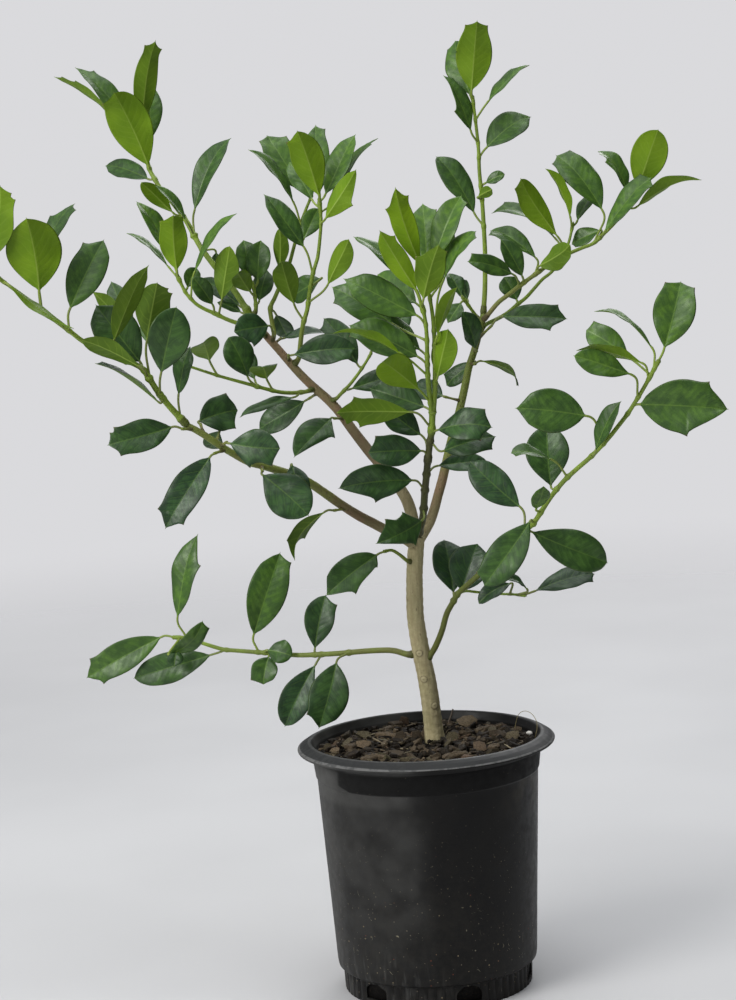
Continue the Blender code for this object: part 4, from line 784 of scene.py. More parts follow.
def stem_skin(shape, stem, feet, seed, collar, age, dark, bud_size):
    """A young stem: swellings where leaves sit, ring scars at its foot and a pointed bud on its end."""
    line, lengths = spline([place(*point) for point in stem[2]], STEM_STEP)
    radii = stem_radii(stem, lengths)
    for foot in feet:
        gap = np.linalg.norm(line - foot, axis=1)
        radii = radii + NODE_SWELLING * radii * hump(gap, NODE_REACH)
    scar_and_shade = np.zeros(len(line))
    if collar is not None:
        for ring in range(SCAR_RINGS):
            ridge = hump(lengths, SCAR_WIDTH, collar + SCAR_START + SCAR_SPACING * ring)
            radii = radii + radii * SCAR_RISE * ridge
            scar_and_shade = np.maximum(scar_and_shade, ridge * 0.8)
        scar_and_shade = np.maximum(scar_and_shade, 0.75 * (1 - smooth(collar + 0.002, collar + 0.007, lengths)))
        radii = radii * (1 + COLLAR_RISE * hump(lengths, COLLAR_REACH, collar))
    along, across, around = frames_along(line)
    if dark:
        up_to, strength = dark
        scar_and_shade = np.maximum(scar_and_shade, strength * (1 - smooth(up_to - 0.06, up_to + 0.02, lengths / lengths[-1])))
    angles = circle(STEM_SIDES)
    ridges = 1 + 0.04 * np.cos(3 * angles + seed) + 0.02 * np.cos(5 * angles + 2 * seed)
    # The end closes as a pointed bud
    bud = np.array(END_BUD[0]) * MM * bud_size
    line = np.vstack([line, line[-1] + bud[:, None] * along[-1]])
    across = np.vstack([across, np.repeat(across[-1:], len(bud), axis=0)])
    around = np.vstack([around, np.repeat(around[-1:], len(bud), axis=0)])
    radii = np.concatenate([radii, radii[-1] * np.array(END_BUD[1])])
    lengths = np.concatenate([lengths, lengths[-1] + bud])
    scar_and_shade = np.concatenate([scar_and_shade, smooth(0, 0.8, np.linspace(0, 1, len(bud))) * 0.5])
    tones = age[0] + (age[1] - age[0]) * np.minimum(lengths / lengths[-1], 1)
    marks = np.repeat(np.stack([tones, scar_and_shade, lengths], axis=-1)[:, None], STEM_SIDES, axis=1)
    shape.skin(tube(line, radii[:, None] * ridges, across, around, STEM_SIDES), 0, stem=marks)


def small_bud(shape, foot, way):
    """A plump pointed bud in a leaf's armpit."""
    way = unit(way)
    side = unit(np.cross(way, [0.3, 0.9, 0.2]))
    reach, full = np.array(ARMPIT_BUD).T * BUD_LENGTH
    rings = tube(foot + way * reach[:, None], BUD_PLUMPNESS * full, side[None], np.cross(way, side)[None], 8)
    shape.skin(rings, 0, stem=np.broadcast_to([0.25, 0.35, 0.0], rings.shape))


# Leaves

def midrib(base, tip, out, bend, share):
    """Points of the arched midrib, where share runs from 0 at the base to 1 at the tip."""
    share = np.asarray(share, float)[..., None]
    rise = np.linalg.norm(tip - base) * tan(radians(bend) / 4) / 2
    arch = rise * 4 * share * (1 - share) * (ARCH_FOOT + ARCH_GAIN * share)
    return base + (tip - base) * share + out * arch


def half_width(width, share, skew, fullness):
    """How far out a plain edge runs. The skew moves its widest place out, a low fullness rounds it."""
    inside = np.clip(share / BLADE_END, 0, 1)
    power = fullness + BASE_WEDGE * (1 - inside) ** 2
    return width * MM / 2 * np.clip(np.sin(pi * inside**skew), 0, 1) ** power


def stalk_point(foot, base, lead, share):
    """Points of the curved leaf stalk, which runs into the blade in the direction lead."""
    share = np.asarray(share, float)[..., None]
    reach = STALK_REACH * np.linalg.norm(base - foot)
    first = foot + unit(base - foot) * reach
    second = base - lead * reach
    rest = 1 - share
    return rest**3 * foot + 3 * rest**2 * share * first + 3 * rest * share**2 * second + share**3 * base


def leaf_frame(stems, leaf):
    """Foot, base and tip of a leaf, with the directions out of its upper side and out of its right edge."""
    foot, base, tip, (base_back, tip_back), _, turn, _, _ = leaf
    on_stem = nearest(stems, *foot)
    foot = place(*on_stem)
    base = place(*base, on_stem[2] + base_back)
    tip = place(*tip, on_stem[2] + tip_back)
    along = unit(tip - base)
    to_eye = EYE - base
    facing = unit(to_eye - along * np.dot(to_eye, along))
    angle = radians(turn)
    out = cos(angle) * facing + sin(angle) * np.cross(along, facing)
    return foot, base, tip, out, np.cross(along, out)


def margin(width, share, spines, length, skew, fullness):
    """One edge: how far out it runs at each share of the blade, and how much of a spine each place is."""
    reach = half_width(width, share, skew, fullness)
    spine = np.zeros(len(share))
    marks = sorted(spines)

    def run_in(start, power):
        """From its last spine, or else near the end, an edge runs in to the tip."""
        at_start = half_width(width, np.array([start]), skew, fullness)[0]
        rest = np.clip((BLADE_END - share) / (BLADE_END - start), 0, 1)
        return np.where(share > start, np.minimum(reach, at_start * rest**power), reach)

    if not marks:
        # Blades that are widest far out end blunt
        reach = run_in(PLAIN_END, 1.05 - 0.5 * smooth(1.04, 1.2, skew))
    for number, mark in enumerate(marks):
        if number + 1 < len(marks):
            between = np.clip((share - mark) / (marks[number + 1] - mark), 0, 1)
            reach = reach * (1 - SPINE_BAY * np.sin(pi * between) ** 1.2 * (share > mark))
        else:
            reach = run_in(mark, 0.85)
        before = np.clip((mark - share) * length / SPINE_RUN_UP, 0, 1)
        after = np.clip((share - mark) * length / SPINE_RUN_OFF, 0, 1)
        reach = reach + SPINE_LENGTH * np.where(share <= mark, (1 - before) ** 2.6, (1 - after) ** 2.2)
        spine = np.maximum(spine, np.where(share <= mark, (1 - before) ** 5, (1 - after) ** 4))
    return reach, spine


def spine_shares(text, flipped):
    """The places of a leaf's spines along its left and right edges, as shares of the blade."""
    left, right = text.split("/")
    if flipped:
        left, right = right, left
    return [[SPINE_PLACES[int(mark)] for mark in side] for side in (left, right)]


def stations(length, spines):
    """The shares of the blade at which it has rings: even ones, closer at its ends and at its spines."""
    even = np.linspace(0, 1, 31)
    shares = SPINE_END * (0.3 * (0.5 - 0.5 * np.cos(pi * even)) + 0.7 * even)
    wanted = [BLADE_END]
    for mark in spines[0] + spines[1]:
        wanted += [mark + gap / length for gap in SPINE_STATIONS]
    wanted = np.array(wanted)
    shares = [share for share in shares if np.min(np.abs(wanted - share)) > STATION_GAP / length]
    shares = np.unique(np.round(np.concatenate([shares, wanted]), 5))
    return shares[(shares >= 0) & (shares <= SPINE_END)]


def blade_axis(base, tip, out, bend, share, dice):
    """The blade's centre line with its chance bends, and the ways ahead, up and aside along it."""
    length = np.linalg.norm(tip - base)
    step = 0.01
    centre = midrib(base, tip, out, bend, share)
    ahead = unit(midrib(base, tip, out, bend, share + step) - midrib(base, tip, out, bend, share - step))
    upper = unit(out - ahead * dots(ahead, out))
    recurve = dice.uniform(*RECURVE) * length
    centre = centre - upper * (smooth(0.68, 1.1, share) * recurve)[:, None]
    sweep = dice.uniform(*SWEEP) * length
    centre = centre + np.cross(ahead, upper) * (sweep * 4 * share * (1 - share))[:, None]
    ahead = unit(np.gradient(centre, axis=0))
    upper = unit(out - ahead * dots(ahead, out))
    side = np.cross(ahead, upper)
    twist = dice.uniform(*TWIST) * (share - 0.3)[:, None]
    return (centre, ahead, upper * np.cos(twist) - side * np.sin(twist),
            side * np.cos(twist) + upper * np.sin(twist))


def blade_lift(share, length, plain, off, dice):
    """How high the blade's sheet stands over its axis, and the lengthwise mark its veins are drawn by."""
    right, q = RING > 0, np.abs(RING)[None]
    # The side veins are never evenly spaced: the lengthwise mark is stretched here and there
    phase, waves = dice.uniform(0, 2 * pi, 3), dice.uniform(*WAVE_COUNT)
    stretch = np.sin(9.5 * share + phase[0]) + 0.7 * np.sin(17 * share + phase[1])
    along = (share * length + 0.0011 * stretch)[:, None]
    along = along + 0.0013 * np.sin(11 * share + phase[2])[:, None] * right
    wave = np.sin(2 * pi * waves * share[:, None] + phase[0] + 1.3 * right) * dice.uniform(*LONG_WAVES)
    wave = wave + np.sin(2 * pi * 2.7 * share[:, None] + phase[1] + 2.6 * right) * dice.uniform(*SHORT_WAVES)
    fold = FOLD * dice.uniform(*FOLD_SPREAD)
    course = (along - VEIN_SLOPE * np.abs(off) - VEIN_CURVE * off**2) / VEIN_SPACING + 0.5 * right
    quilt = QUILT_RELIEF * dice.uniform(*QUILT_SPREAD) * (0.5 - 0.5 * np.cos(2 * pi * course))
    quilt = quilt * (1 - q**6) * smooth(0.05, 0.2, q) * smooth(0.0, 0.4, plain / 0.010)
    return along, plain * (fold * q**1.25 - MARGIN_ROLL * q**5 + wave * q**2) + quilt


def closed_ends(share, off, level):
    """Draws the blade's rings in round its stalk at the base, and out into a thorn at the tip."""
    share = share[:, None]
    thorn = smooth(BLADE_END - THORN_RUN, BLADE_END, share)
    fine = THORN_RADIUS * (1 - smooth(BLADE_END - 0.02, SPINE_END, share)) + THORN_POINT
    radius = np.where(share < 0.5, STALK_RADIUS * (1 - 0.35 * share / STALK_BLEND), fine)
    near_end = np.maximum(1 - smooth(0.0, STALK_BLEND, share), thorn)
    return (off * (1 - near_end) + radius * ROUND_OFF * near_end,
            level * (1 - near_end) + radius * ROUND_LEVEL * near_end)


def stalk_rings(foot, base, lead, aside):
    """Rings of a leaf's stalk, the share of its length at each, and its way and upper side at its foot."""
    count = 3 + int(np.linalg.norm(base - foot) / STALK_STEP)
    share = np.linspace(0, 1, count, endpoint=False)
    spot = stalk_point(foot, base, lead, share)
    way = unit(stalk_point(foot, base, lead, share + 0.01) - spot)
    side = unit(aside - way * dots(way, aside))
    upper = np.cross(side, way)
    swell = STALK_RADIUS * (1 + 0.35 * hump(share, 0.12))[:, None]
    flattened = ROUND_LEVEL * np.where(ROUND_LEVEL > 0, 0.8, 1.0)
    rings = (spot[:, None] + side[:, None] * (swell * ROUND_OFF)[..., None]
             + upper[:, None] * (swell * flattened)[..., None])
    return rings, share, way[0], upper[0]


def leaf_skin(shape, stems, leaf, ripeness, outline, dice):
    """One leaf as a closed skin: stalk, folded blade with rolled and spiny margins, ribs and end spine."""
    foot, base, tip, out, aside = leaf_frame(stems, leaf)
    width, turn, bend, text = leaf[4:]
    length = np.linalg.norm(tip - base)
    spines = spine_shares(text, cos(radians(turn)) < 0)
    share = stations(length, spines)
    centre, ahead, upper, side = blade_axis(base, tip, out, bend, share, dice)
    drawn = dice.uniform(*SKEWS), dice.uniform(*FULLNESSES)
    skew, fullness = outline or drawn
    left, right = (margin(width, share, marks, length, skew, fullness) for marks in spines)
    reach, spine = (np.where(RING[None] < 0, one[:, None], other[:, None]) for one, other in zip(left, right))
    spine = spine * np.abs(RING) ** 8
    plain = half_width(width, share, skew, fullness)[:, None]
    blade_off = RING * reach
    along, lift = blade_lift(share, length, plain, blade_off, dice)
    q = np.abs(RING)[None]
    half = BLADE_THICKNESS / 2 * (1 - q**4)
    rib = hump(blade_off, RIB_WIDTH) * (1 - 0.75 * share[:, None])
    level = np.where(np.arange(len(RING)) < UPPER_COUNT,
                     lift + half - RIB_GROOVE * rib, lift - half - RIB_HEIGHT * rib)
    off, level = closed_ends(share, blade_off, level)
    rings = (centre[:, None] + side[:, None] * off[..., None] + upper[:, None] * level[..., None]
             + ahead[:, None] * (SPINE_LENGTH * 0.5 * spine)[..., None])
    lead = unit(midrib(base, tip, out, bend, 0.01) - base)
    stalk, stalk_share, way, stalk_upper = stalk_rings(foot, base, lead, aside)
    rings = np.concatenate([stalk, rings])
    # Marks for the finishes: where on the blade each point lies, and its age, chance and thorns
    count, sides = stalk.shape[:2]
    blade = np.zeros((len(rings), sides, 3))
    blade[:count, :, 0] = -(1 - stalk_share)[:, None] * np.linalg.norm(base - foot)
    blade[count:] = np.stack([along, blade_off, np.broadcast_to(q, blade_off.shape)], axis=-1)
    tones = np.zeros((len(rings), sides, 3))
    tones[..., 0] = ripeness
    tones[..., 1] = dice.uniform(0, 1)
    tones[count:, :, 2] = np.maximum(spine, smooth(BLADE_END - 0.01, 1.0, share)[:, None])
    finish = np.zeros((len(rings) - 1, sides), int)
    finish[:, UPPER_COUNT - 1:] = 1
    finish[:count + 1] = 2
    shape.skin(rings, finish, blade=blade, leaf=tones)
    return foot, way, stalk_upper


def grow_shoots(stem_finish, leaf_finishes):
    """Each shoot as two pieces: its stems with their buds, and its leaves."""
    for number, (name, (_, carrier, _, leaves)) in enumerate(SHOOTS.items()):
        dice = np.random.default_rng(100 + number)
        stems = stems_of(name)
        lone = len(leaves) == 1
        thick = max(stem_thickness(stems_of(carrier), place(*stems[0][2][0])), 0.001)
        feet = [leaf_frame(stems, leaf)[0] for leaf in leaves]
        age = STEM_AGES.get(name, LONE_STEM_AGE if lone else SHOOT_STEM_AGE)
        wood, foliage = Shape(), Shape()
        for index, stem in enumerate(stems):
            if index == 0:
                stem_skin(wood, stem, feet, number, thick, age, DARK_STEMS.get(name), 0.4 if lone else 1.0)
            else:
                stem_skin(wood, stem, feet, number + index, None, (age[1], 0.0), None, 0.4 if lone else 1.0)
        first, last = LEAF_AGES.get(name, LONE_LEAF_AGE)
        line = np.array([place(*point) for stem in stems for point in stem[2]])
        for row, leaf in enumerate(leaves):
            share = np.argmin(np.linalg.norm(line - feet[row], axis=1)) / (len(line) - 1)
            ripeness = LEAF_EXCEPTIONS.get(name, {}).get(row, first + (last - first) * share)
            outline = LEAF_OUTLINES.get(name, {}).get(row)
            foot, way, up = leaf_skin(foliage, stems, leaf, ripeness, outline, dice)
            if not lone:
                small_bud(wood, foot + way * 0.0011, up * 0.8 + way)
        wood.piece(f"{name}_stem", [stem_finish], name, "stem_bark")
        foliage.piece(f"{name}_leaves", leaf_finishes, name, "holly_leaf")


# Wood

def rough_wood():
    """The trunk and limbs as tubes, with the place, length, share, radius and tones of each axis point."""
    rough, axes, tones = Shape(), [], []
    for name, stem in WOOD.items():
        line, lengths = spline([place(*point) for point in stem[2]], 0.0015)
        radii = stem_radii(stem, lengths)
        if name == "trunk":
            radii = radii * (1 + TRUNK_FLARE * hump(line[:, 2], 0.007, 0.184))
        _, across, around = frames_along(line)
        rough.skin(tube(line, radii, across, around, 18))
        axes.append(np.column_stack([line, lengths, lengths / lengths[-1], radii]))
        tones.append(np.tile((1 - LIMB_AGES[name], *LIMB_TONES[name]), (len(line), 1)))
    return rough, np.vstack(axes), np.vstack(tones)


def fused(rough):
    """One soft skin over tubes that run into each other: its points, their normals and its faces."""
    body = bare_body("rough_wood", np.vstack(rough.points), rough.faces)
    fuse = body.modifiers.new("fuse", "REMESH")
    fuse.mode = "VOXEL"
    fuse.voxel_size = WOOD_GRAIN
    soften = body.modifiers.new("soften", "SMOOTH")
    soften.factor = 0.5
    soften.iterations = 7
    mesh = worked(body)
    bpy.data.objects.remove(body, do_unlink=True)
    found = []
    for part in ("co", "normal"):
        values = np.empty(len(mesh.vertices) * 3, np.float32)
        mesh.vertices.foreach_get(part, values)
        found.append(values.reshape(-1, 3))
    return found[0].astype(float), found[1], [tuple(face.vertices) for face in mesh.polygons]


def nearest_on(axis, points):
    """The row of the axis table whose tube each point lies nearest to."""
    rows = np.empty(len(points), int)
    for start in range(0, len(points), 4000):
        part = points[start:start + 4000]
        gaps = np.linalg.norm(part[:, None] - axis[None, :, :3], axis=2) - axis[None, :, 5]
        rows[start:start + 4000] = np.argmin(gaps, axis=1)
    return rows


def bark_relief(points, lengths, turn):
    """How far ridges and grit of the bark stand out, from the length along the wood and the turn round it."""
    relief = np.empty(len(points))
    for index, (point, length, angle) in enumerate(zip(points, lengths, turn)):
        ridges = noise.noise(Vector((3.2 * cos(angle), 3.2 * sin(angle), length * 70)))
        relief[index] = BARK_RIDGES * ridges + BARK_GRIT * noise.noise(Vector(point) * 900)
    return relief


def knots(points):
    """How far the knots stand out, and their mark: pale rings below nought, dark eyes and outlines above."""
    relief, mark = np.zeros((2, len(points)))
    for across, up, size, side in KNOTS:
        spot = place(*nearest([WOOD["trunk"]], across, up))
        look = unit(EYE - spot)
        spot = spot + KNOT_OUT * unit(look + side * np.cross([0, 0, 1], look))
        gap = np.linalg.norm(points - spot, axis=1) / (size * MM)
        relief += size * 0.4 * MM * (hump(gap, 1.0) - 0.85 * hump(gap, 0.36))
        mark += hump(gap, 0.3) + 0.8 * hump(gap, 0.16, 1.15) - hump(gap, 0.2, 0.68)
    return relief, mark


def woody_frame(finish):
    """The trunk and its limbs, fused at their forks, with bark relief, knots and the marks for its finish."""
    rough, axis, tones = rough_wood()
    points, normals, faces = fused(rough)
    rows = nearest_on(axis, points)
    lengths, shares = axis[rows, 3], axis[rows, 4]
    youth, turned_by, painted_shade_low, painted_shade_high = tones[rows].T
    arm = points - axis[rows, :3]
    turn = np.arctan2(arm[:, 0], -arm[:, 1])
    # Shallow rings and wrinkles where the trunk has put on its years
    wrinkles = BARK_RINGS * np.sin(lengths * 900 + 2 * np.sin(turn * 2)) * (youth == 0)
    knot_relief, dark = knots(points)
    relief = bark_relief(points, lengths, turn) + wrinkles + knot_relief
    # Painted shade on the limbs, set apart for their lower and upper halves
    upper_half = smooth(0.45, 0.62, shares)
    dark += (painted_shade_low + (painted_shade_high - painted_shade_low) * upper_half) * smooth(0.03, 0.16, shares)
    marks = {"stem": np.stack([1 - youth * smooth(-0.1, turned_by, shares), dark, lengths], axis=1)}
    points = points + normals * relief[:, None]
    return add_piece("trunk_and_limbs", points, faces, [finish], "trunk", None, marks)


# Pot

def lathe(profile, sides):
    """Rings round the pot's axis through a profile of radius and height."""
    angles = circle(sides)
    profile = np.array(profile)
    rings = np.empty((len(profile), sides, 3))
    rings[..., 0] = profile[:, :1] * np.cos(angles)
    rings[..., 1] = profile[:, :1] * np.sin(angles)
    rings[..., 2] = profile[:, 1:]
    return rings, angles


def rounded(corners, radius, steps=4):
    """A profile with its inner corners rounded off."""
    corners = [np.array(corner) for corner in corners]
    found = [corners[0]]
    for before, corner, after in zip(corners[:-2], corners[1:-1], corners[2:]):
        cut = min(radius, 0.45 * np.linalg.norm(before - corner), 0.45 * np.linalg.norm(after - corner))
        start = corner + unit(before - corner) * cut
        end = corner + unit(after - corner) * cut
        for share in np.arange(steps + 1) / steps:
            found.append((1 - share) ** 2 * start + 2 * share * (1 - share) * corner + share**2 * end)
    return found + [corners[-1]]


def refined(profile, step):
    """A profile with its long runs divided."""
    found = [profile[0]]
    for here, there in zip(profile[:-1], profile[1:]):
        count = max(1, int(np.linalg.norm(there - here) / step))
        found += [here + (there - here) * (index + 1) / count for index in range(count)]
    return found


def pot_profile():
    """Up the outside from the floor, over the rolled lip and down the inside to the pot's bottom."""
    return rounded([
        (FOOT_RADIUS - 0.004, 0.0),
        (FOOT_RADIUS, 0.0),
        (FOOT_TOP_RADIUS, FOOT_TOP_HEIGHT),
        (WALL_FOOT_RADIUS - 0.0006, FOOT_TOP_HEIGHT + 0.0022),
        (WALL_FOOT_RADIUS, WALL_FOOT_HEIGHT + 0.002),
        (WALL_TOP_RADIUS, BAND_FOOT_HEIGHT),
        (WALL_TOP_RADIUS + BAND_STEP, BAND_FOOT_HEIGHT + 0.0012),
        (NECK_RADIUS + 0.0006, BAND_TOP_HEIGHT),
        (NECK_RADIUS + 0.0003, BAND_TOP_HEIGHT + 0.0012),
        (NECK_RADIUS + 0.0014, BAND_TOP_HEIGHT + 0.0034),
        (NECK_RADIUS + 0.0044, LIP_FOOT_HEIGHT + 0.0003),
        (LIP_RADIUS - 0.0016, LIP_FOOT_HEIGHT + 0.0014),
        (LIP_RADIUS - 0.0004, LIP_FOOT_HEIGHT + 0.0009),
        (LIP_RADIUS, LIP_EDGE_HEIGHT + 0.0004),
        (LIP_RADIUS - 0.0006, LIP_EDGE_HEIGHT + 0.0011),
        (LIP_RADIUS - 0.0048, LIP_EDGE_HEIGHT + 0.0038),
        (CREST_RADIUS + 0.0012, POT_HEIGHT - 0.0005),
        (CREST_RADIUS - 0.0006, POT_HEIGHT - 0.0002),
        (CREST_RADIUS - 0.0016, POT_HEIGHT - 0.0010),
        (NECK_RADIUS - WALL + 0.0007, LIP_FOOT_HEIGHT + 0.0028),
        (NECK_RADIUS - WALL, LIP_FOOT_HEIGHT + 0.0014),
        (WALL_TOP_RADIUS - WALL, BAND_FOOT_HEIGHT),
        (WALL_FOOT_RADIUS - WALL, WALL_FOOT_HEIGHT),
        (FOOT_TOP_RADIUS - WALL, FOOT_TOP_HEIGHT),
        (FOOT_RADIUS - WALL, FLOOR),
        (0.004, FLOOR),
    ], 0.0005)


def drain_cutter(number):
    """A block with an arched top that runs through the foot where a drain hole goes."""
    turn = radians(DRAIN_PHASE + 360 * number / DRAIN_COUNT)
    outward, aside = np.array([sin(turn), -cos(turn), 0.0]), np.array([cos(turn), sin(turn), 0.0])
    half = DRAIN_WIDTH / 2
    arch = [(-half, DRAIN_SILL), (-half, DRAIN_SPRING)]
    for step in range(1, DRAIN_STEPS):
        angle = pi * (1 - step / DRAIN_STEPS)
        arch.append((half * cos(angle), DRAIN_SPRING + (DRAIN_TOP - DRAIN_SPRING) * sin(angle)))
    arch += [(half, DRAIN_SPRING), (half, DRAIN_SILL)]
    block = Shape()
    block.skin([[outward * reach + aside * x + np.array([0, 0, z]) for x, z in arch]
                for reach in (0.8 * FOOT_RADIUS, 1.2 * FOOT_RADIUS)])
    body = bare_body("drain_cutter", np.vstack(block.points), block.faces)
    turned = bmesh.new()
    turned.from_mesh(body.data)
    bmesh.ops.recalc_face_normals(turned, faces=turned.faces)
    turned.to_mesh(body.data)
    turned.free()
    return body


def nursery_pot(finish):
    """The moulded pot: stepped and fluted foot, tapered wall, band, rolled lip and cut drain arches."""
    rings, angles = lathe(refined(pot_profile(), 0.006), FLUTE_COUNT * 6)
    radius = np.hypot(rings[..., 0], rings[..., 1])
    height = rings[..., 2]
    outer = radius > FOOT_RADIUS - 0.0007
    flute = (0.5 + 0.5 * np.cos(FLUTE_COUNT * angles)) ** 2
    low = outer * (height < FOOT_TOP_HEIGHT - 0.0004) * smooth(-0.001, 0.002, height)
    rings[..., :2] *= (1 - FLUTE_DEPTH * flute[None] * low / np.maximum(radius, 0.01))[..., None]
    # A thin moulded wall is never quite round
    sway = POT_SWAY * np.sin(2 * angles + 0.7) + POT_RIPPLE * np.sin(5 * angles)
    rings[..., :2] *= (1 + sway[None] / 0.085 * smooth(0.02, 0.19, height))[..., None]
    shape = Shape()
    shape.skin(rings)
    pot = shape.piece("nursery_pot_shell", [finish], "nursery_pot", "pot_plastic")
    cutters = [drain_cutter(number) for number in range(DRAIN_COUNT)]
    for cutter in cutters:
        cut = pot.modifiers.new("drain", "BOOLEAN")
        cut.operation = "DIFFERENCE"
        cut.solver = "EXACT"
        cut.object = cutter
    made = worked(pot)
    pot.modifiers.clear()
    pot.data = made
    for cutter in cutters:
        bpy.data.objects.remove(cutter, do_unlink=True)
    pot.data.set_sharp_from_angle(angle=radians(38))
    return pot


# Bark mix

def mound_height(radius):
    """The height of the bark mix's surface at a distance from the pot's axis."""
    outward = sorted(MOUND)
    return np.interp(radius, [ring[0] for ring in outward], [ring[1] for ring in outward])


def potting_mix(finish):
    """The bark mix down to the pot's floor, its top broken up into lumps and hollows."""
    wall = [(radius - WALL - MIX_GAP, height) for radius, height in (
        (FOOT_RADIUS, FLOOR + 0.0003), (FOOT_TOP_RADIUS, FOOT_TOP_HEIGHT),
        (WALL_FOOT_RADIUS, WALL_FOOT_HEIGHT), (WALL_TOP_RADIUS, BAND_FOOT_HEIGHT))]
    top = [(radius, float(mound_height(radius))) for radius in np.linspace(0.0845, 0.0012, 66)]
    rings, _ = lathe(wall + top, 220)
    for point in rings[len(wall):].reshape(-1, 3):
        spot = Vector((point[0], point[1], 0.0))
        lumps = noise.noise(spot * 110) * 0.0012 + abs(noise.noise(spot * 300)) * 0.0016
        inward = min(1.0, (MIX_RADIUS - np.hypot(point[0], point[1])) / 0.004)
        point[2] += (lumps - 0.0040 + noise.noise(spot * 900) * 0.0007) * max(inward, 0.0)
    shape = Shape()
    shape.skin(rings)
    return shape.piece("bark_mix_bed", [finish], "potting_mix", "bark_mix")


def slab(shape, centre, heading, tilt, outline, thick, tone, dice, layers=FLAKE_LAYERS, straw=0.0, hue=None):
    """A broken flat piece of bark with a ragged outline."""
    tilt_axis = Matrix.Rotation(tilt[0], 3, Vector((cos(tilt[1]), sin(tilt[1]), 0)))
    turned = np.array(tilt_axis @ Matrix.Rotation(heading, 3, "Z"))
    outline = np.array(outline)
    rings = []
    for level, scale in layers:
        ring = np.column_stack([outline * scale, np.full(len(outline), thick * level)])
        ring[:, :2] *= 1 + dice.uniform(-0.07, 0.07, (len(outline), 1))
        ring[:, 2] += dice.uniform(-0.12, 0.12, len(outline)) * thick * (level > 0)
        rings.append(ring @ turned.T + centre)
    hue = dice.uniform() if hue is None else hue
    shape.skin(rings, 0, bark=np.broadcast_to([tone, hue, straw], (len(rings), len(outline), 3)))


def ragged(length, width, corners, dice):
    """The outline of a broken piece, with its corners at uneven steps and reaches."""
    angles = np.sort(circle(corners) + dice.uniform(-0.35, 0.35, corners))
    reach = dice.uniform(0.7, 1.15, corners)
    return np.column_stack([length / 2 * reach * np.cos(angles), width / 2 * reach * np.sin(angles)])


def bark_chips(finish):
    """The larger loose chips, each where its packed chip lies."""
    dice = np.random.default_rng(41)
    for number, (across, back, length, width, thick, heading) in enumerate(CHIPS, start=1):
        corners = np.array(CHIP_OUTLINE) * (length, width)
        dense = []
        for here, there in zip(corners, np.roll(corners, -1, axis=0)):
            for share in (0, 0.25, 0.5, 0.75):
                dense.append(here + (there - here) * share + dice.uniform(-0.03, 0.03, 2) * width)
        centre = np.array([across, back, mound_height(np.hypot(across, back)) + 0.0002])
        shape = Shape()
        slab(shape, centre, radians(heading), (0.07, dice.uniform(0, 6)), dense, thick,
             dice.uniform(0.4, 0.95), dice, CHIP_LAYERS)
        chip = shape.piece(f"loose_bark_chip_{number}", [finish], f"bark_chip_{number}", "bark_chip")
        chip.data.set_sharp_from_angle(angle=FLAKE_EDGE)


def on_bed(radius, angle, length):
    """A spot on the bed at this radius and angle, or None where a crumb this long would hit the trunk."""
    spot = np.array([radius * cos(angle), radius * sin(angle), 0.0])
    if np.hypot(spot[0] - TRUNK_FOOT[0], spot[1] - TRUNK_FOOT[1]) < TRUNK_CLEARANCE + length / 2:
        return None
    spot[2] = mound_height(radius)
    return spot


def bark_crumbs(finish):
    """Crumbs, flakes and slivers of bark strewn over the bed."""
    dice = np.random.default_rng(7)
    shape = Shape()
    for _ in range(CRUMB_COUNT):
        radius = 0.0835 * np.sqrt(dice.uniform(0.005, 1))
        angle = dice.uniform(0, 2 * pi)
        length = float(np.clip(dice.lognormal(-5.2, 0.48), 0.0018, 0.0145))
        spot = on_bed(min(radius, 0.0842 - length / 2), angle, length)
        if spot is None:
            continue
        spot[2] -= dice.uniform(0.0, 0.0034)
        outline = ragged(length, length * dice.uniform(0.35, 0.85), int(dice.integers(5, 8)), dice)
        tilt = (float(np.clip(abs(dice.normal(0, 0.6)), 0, 1.25)), dice.uniform(0, 2 * pi))
        tone = dice.uniform(0, 1) ** 3.2
        heading, thick = dice.uniform(0, 2 * pi), length * dice.uniform(0.12, 0.36)
        slab(shape, spot, heading, tilt, outline, thick, tone, dice)
    for _ in range(SLIVER_COUNT):
        radius, angle = 0.078 * np.sqrt(dice.uniform(0.05, 1)), dice.uniform(0, 2 * pi)
        length = dice.uniform(0.007, 0.021)
        spot = on_bed(min(radius, 0.083 - length / 2), angle, length)
        if spot is None:
            continue
        spot[2] += 0.0006
        outline = ragged(length, dice.uniform(0.0009, 0.0018), 10, dice)
        heading, tilt = dice.uniform(0, 2 * pi), (dice.uniform(0, 0.1), dice.uniform(0, 6))
        slab(shape, spot, heading, tilt, outline, SLIVER_THICKNESS, dice.uniform(0.5, 1.0), dice,
             straw=dice.uniform(0, 1) ** 2)
    for across, back, length, width, heading, lean, axis, tone, hue, pale in FLAKES:
        height = mound_height(np.hypot(across, back)) + 0.0004 + 0.3 * sin(radians(lean)) * width
        slab(shape, np.array([across, back, height]), radians(heading), (radians(lean), radians(axis)),
             ragged(length, width, 7, dice), FLAKE_THICKNESS, 0.72 * tone, dice, straw=0.7 * pale, hue=hue)
    crumbs = shape.piece("bark_crumbs", [finish], "potting_mix", "bark_chip")
    crumbs.data.set_sharp_from_angle(angle=FLAKE_EDGE)
    return crumbs


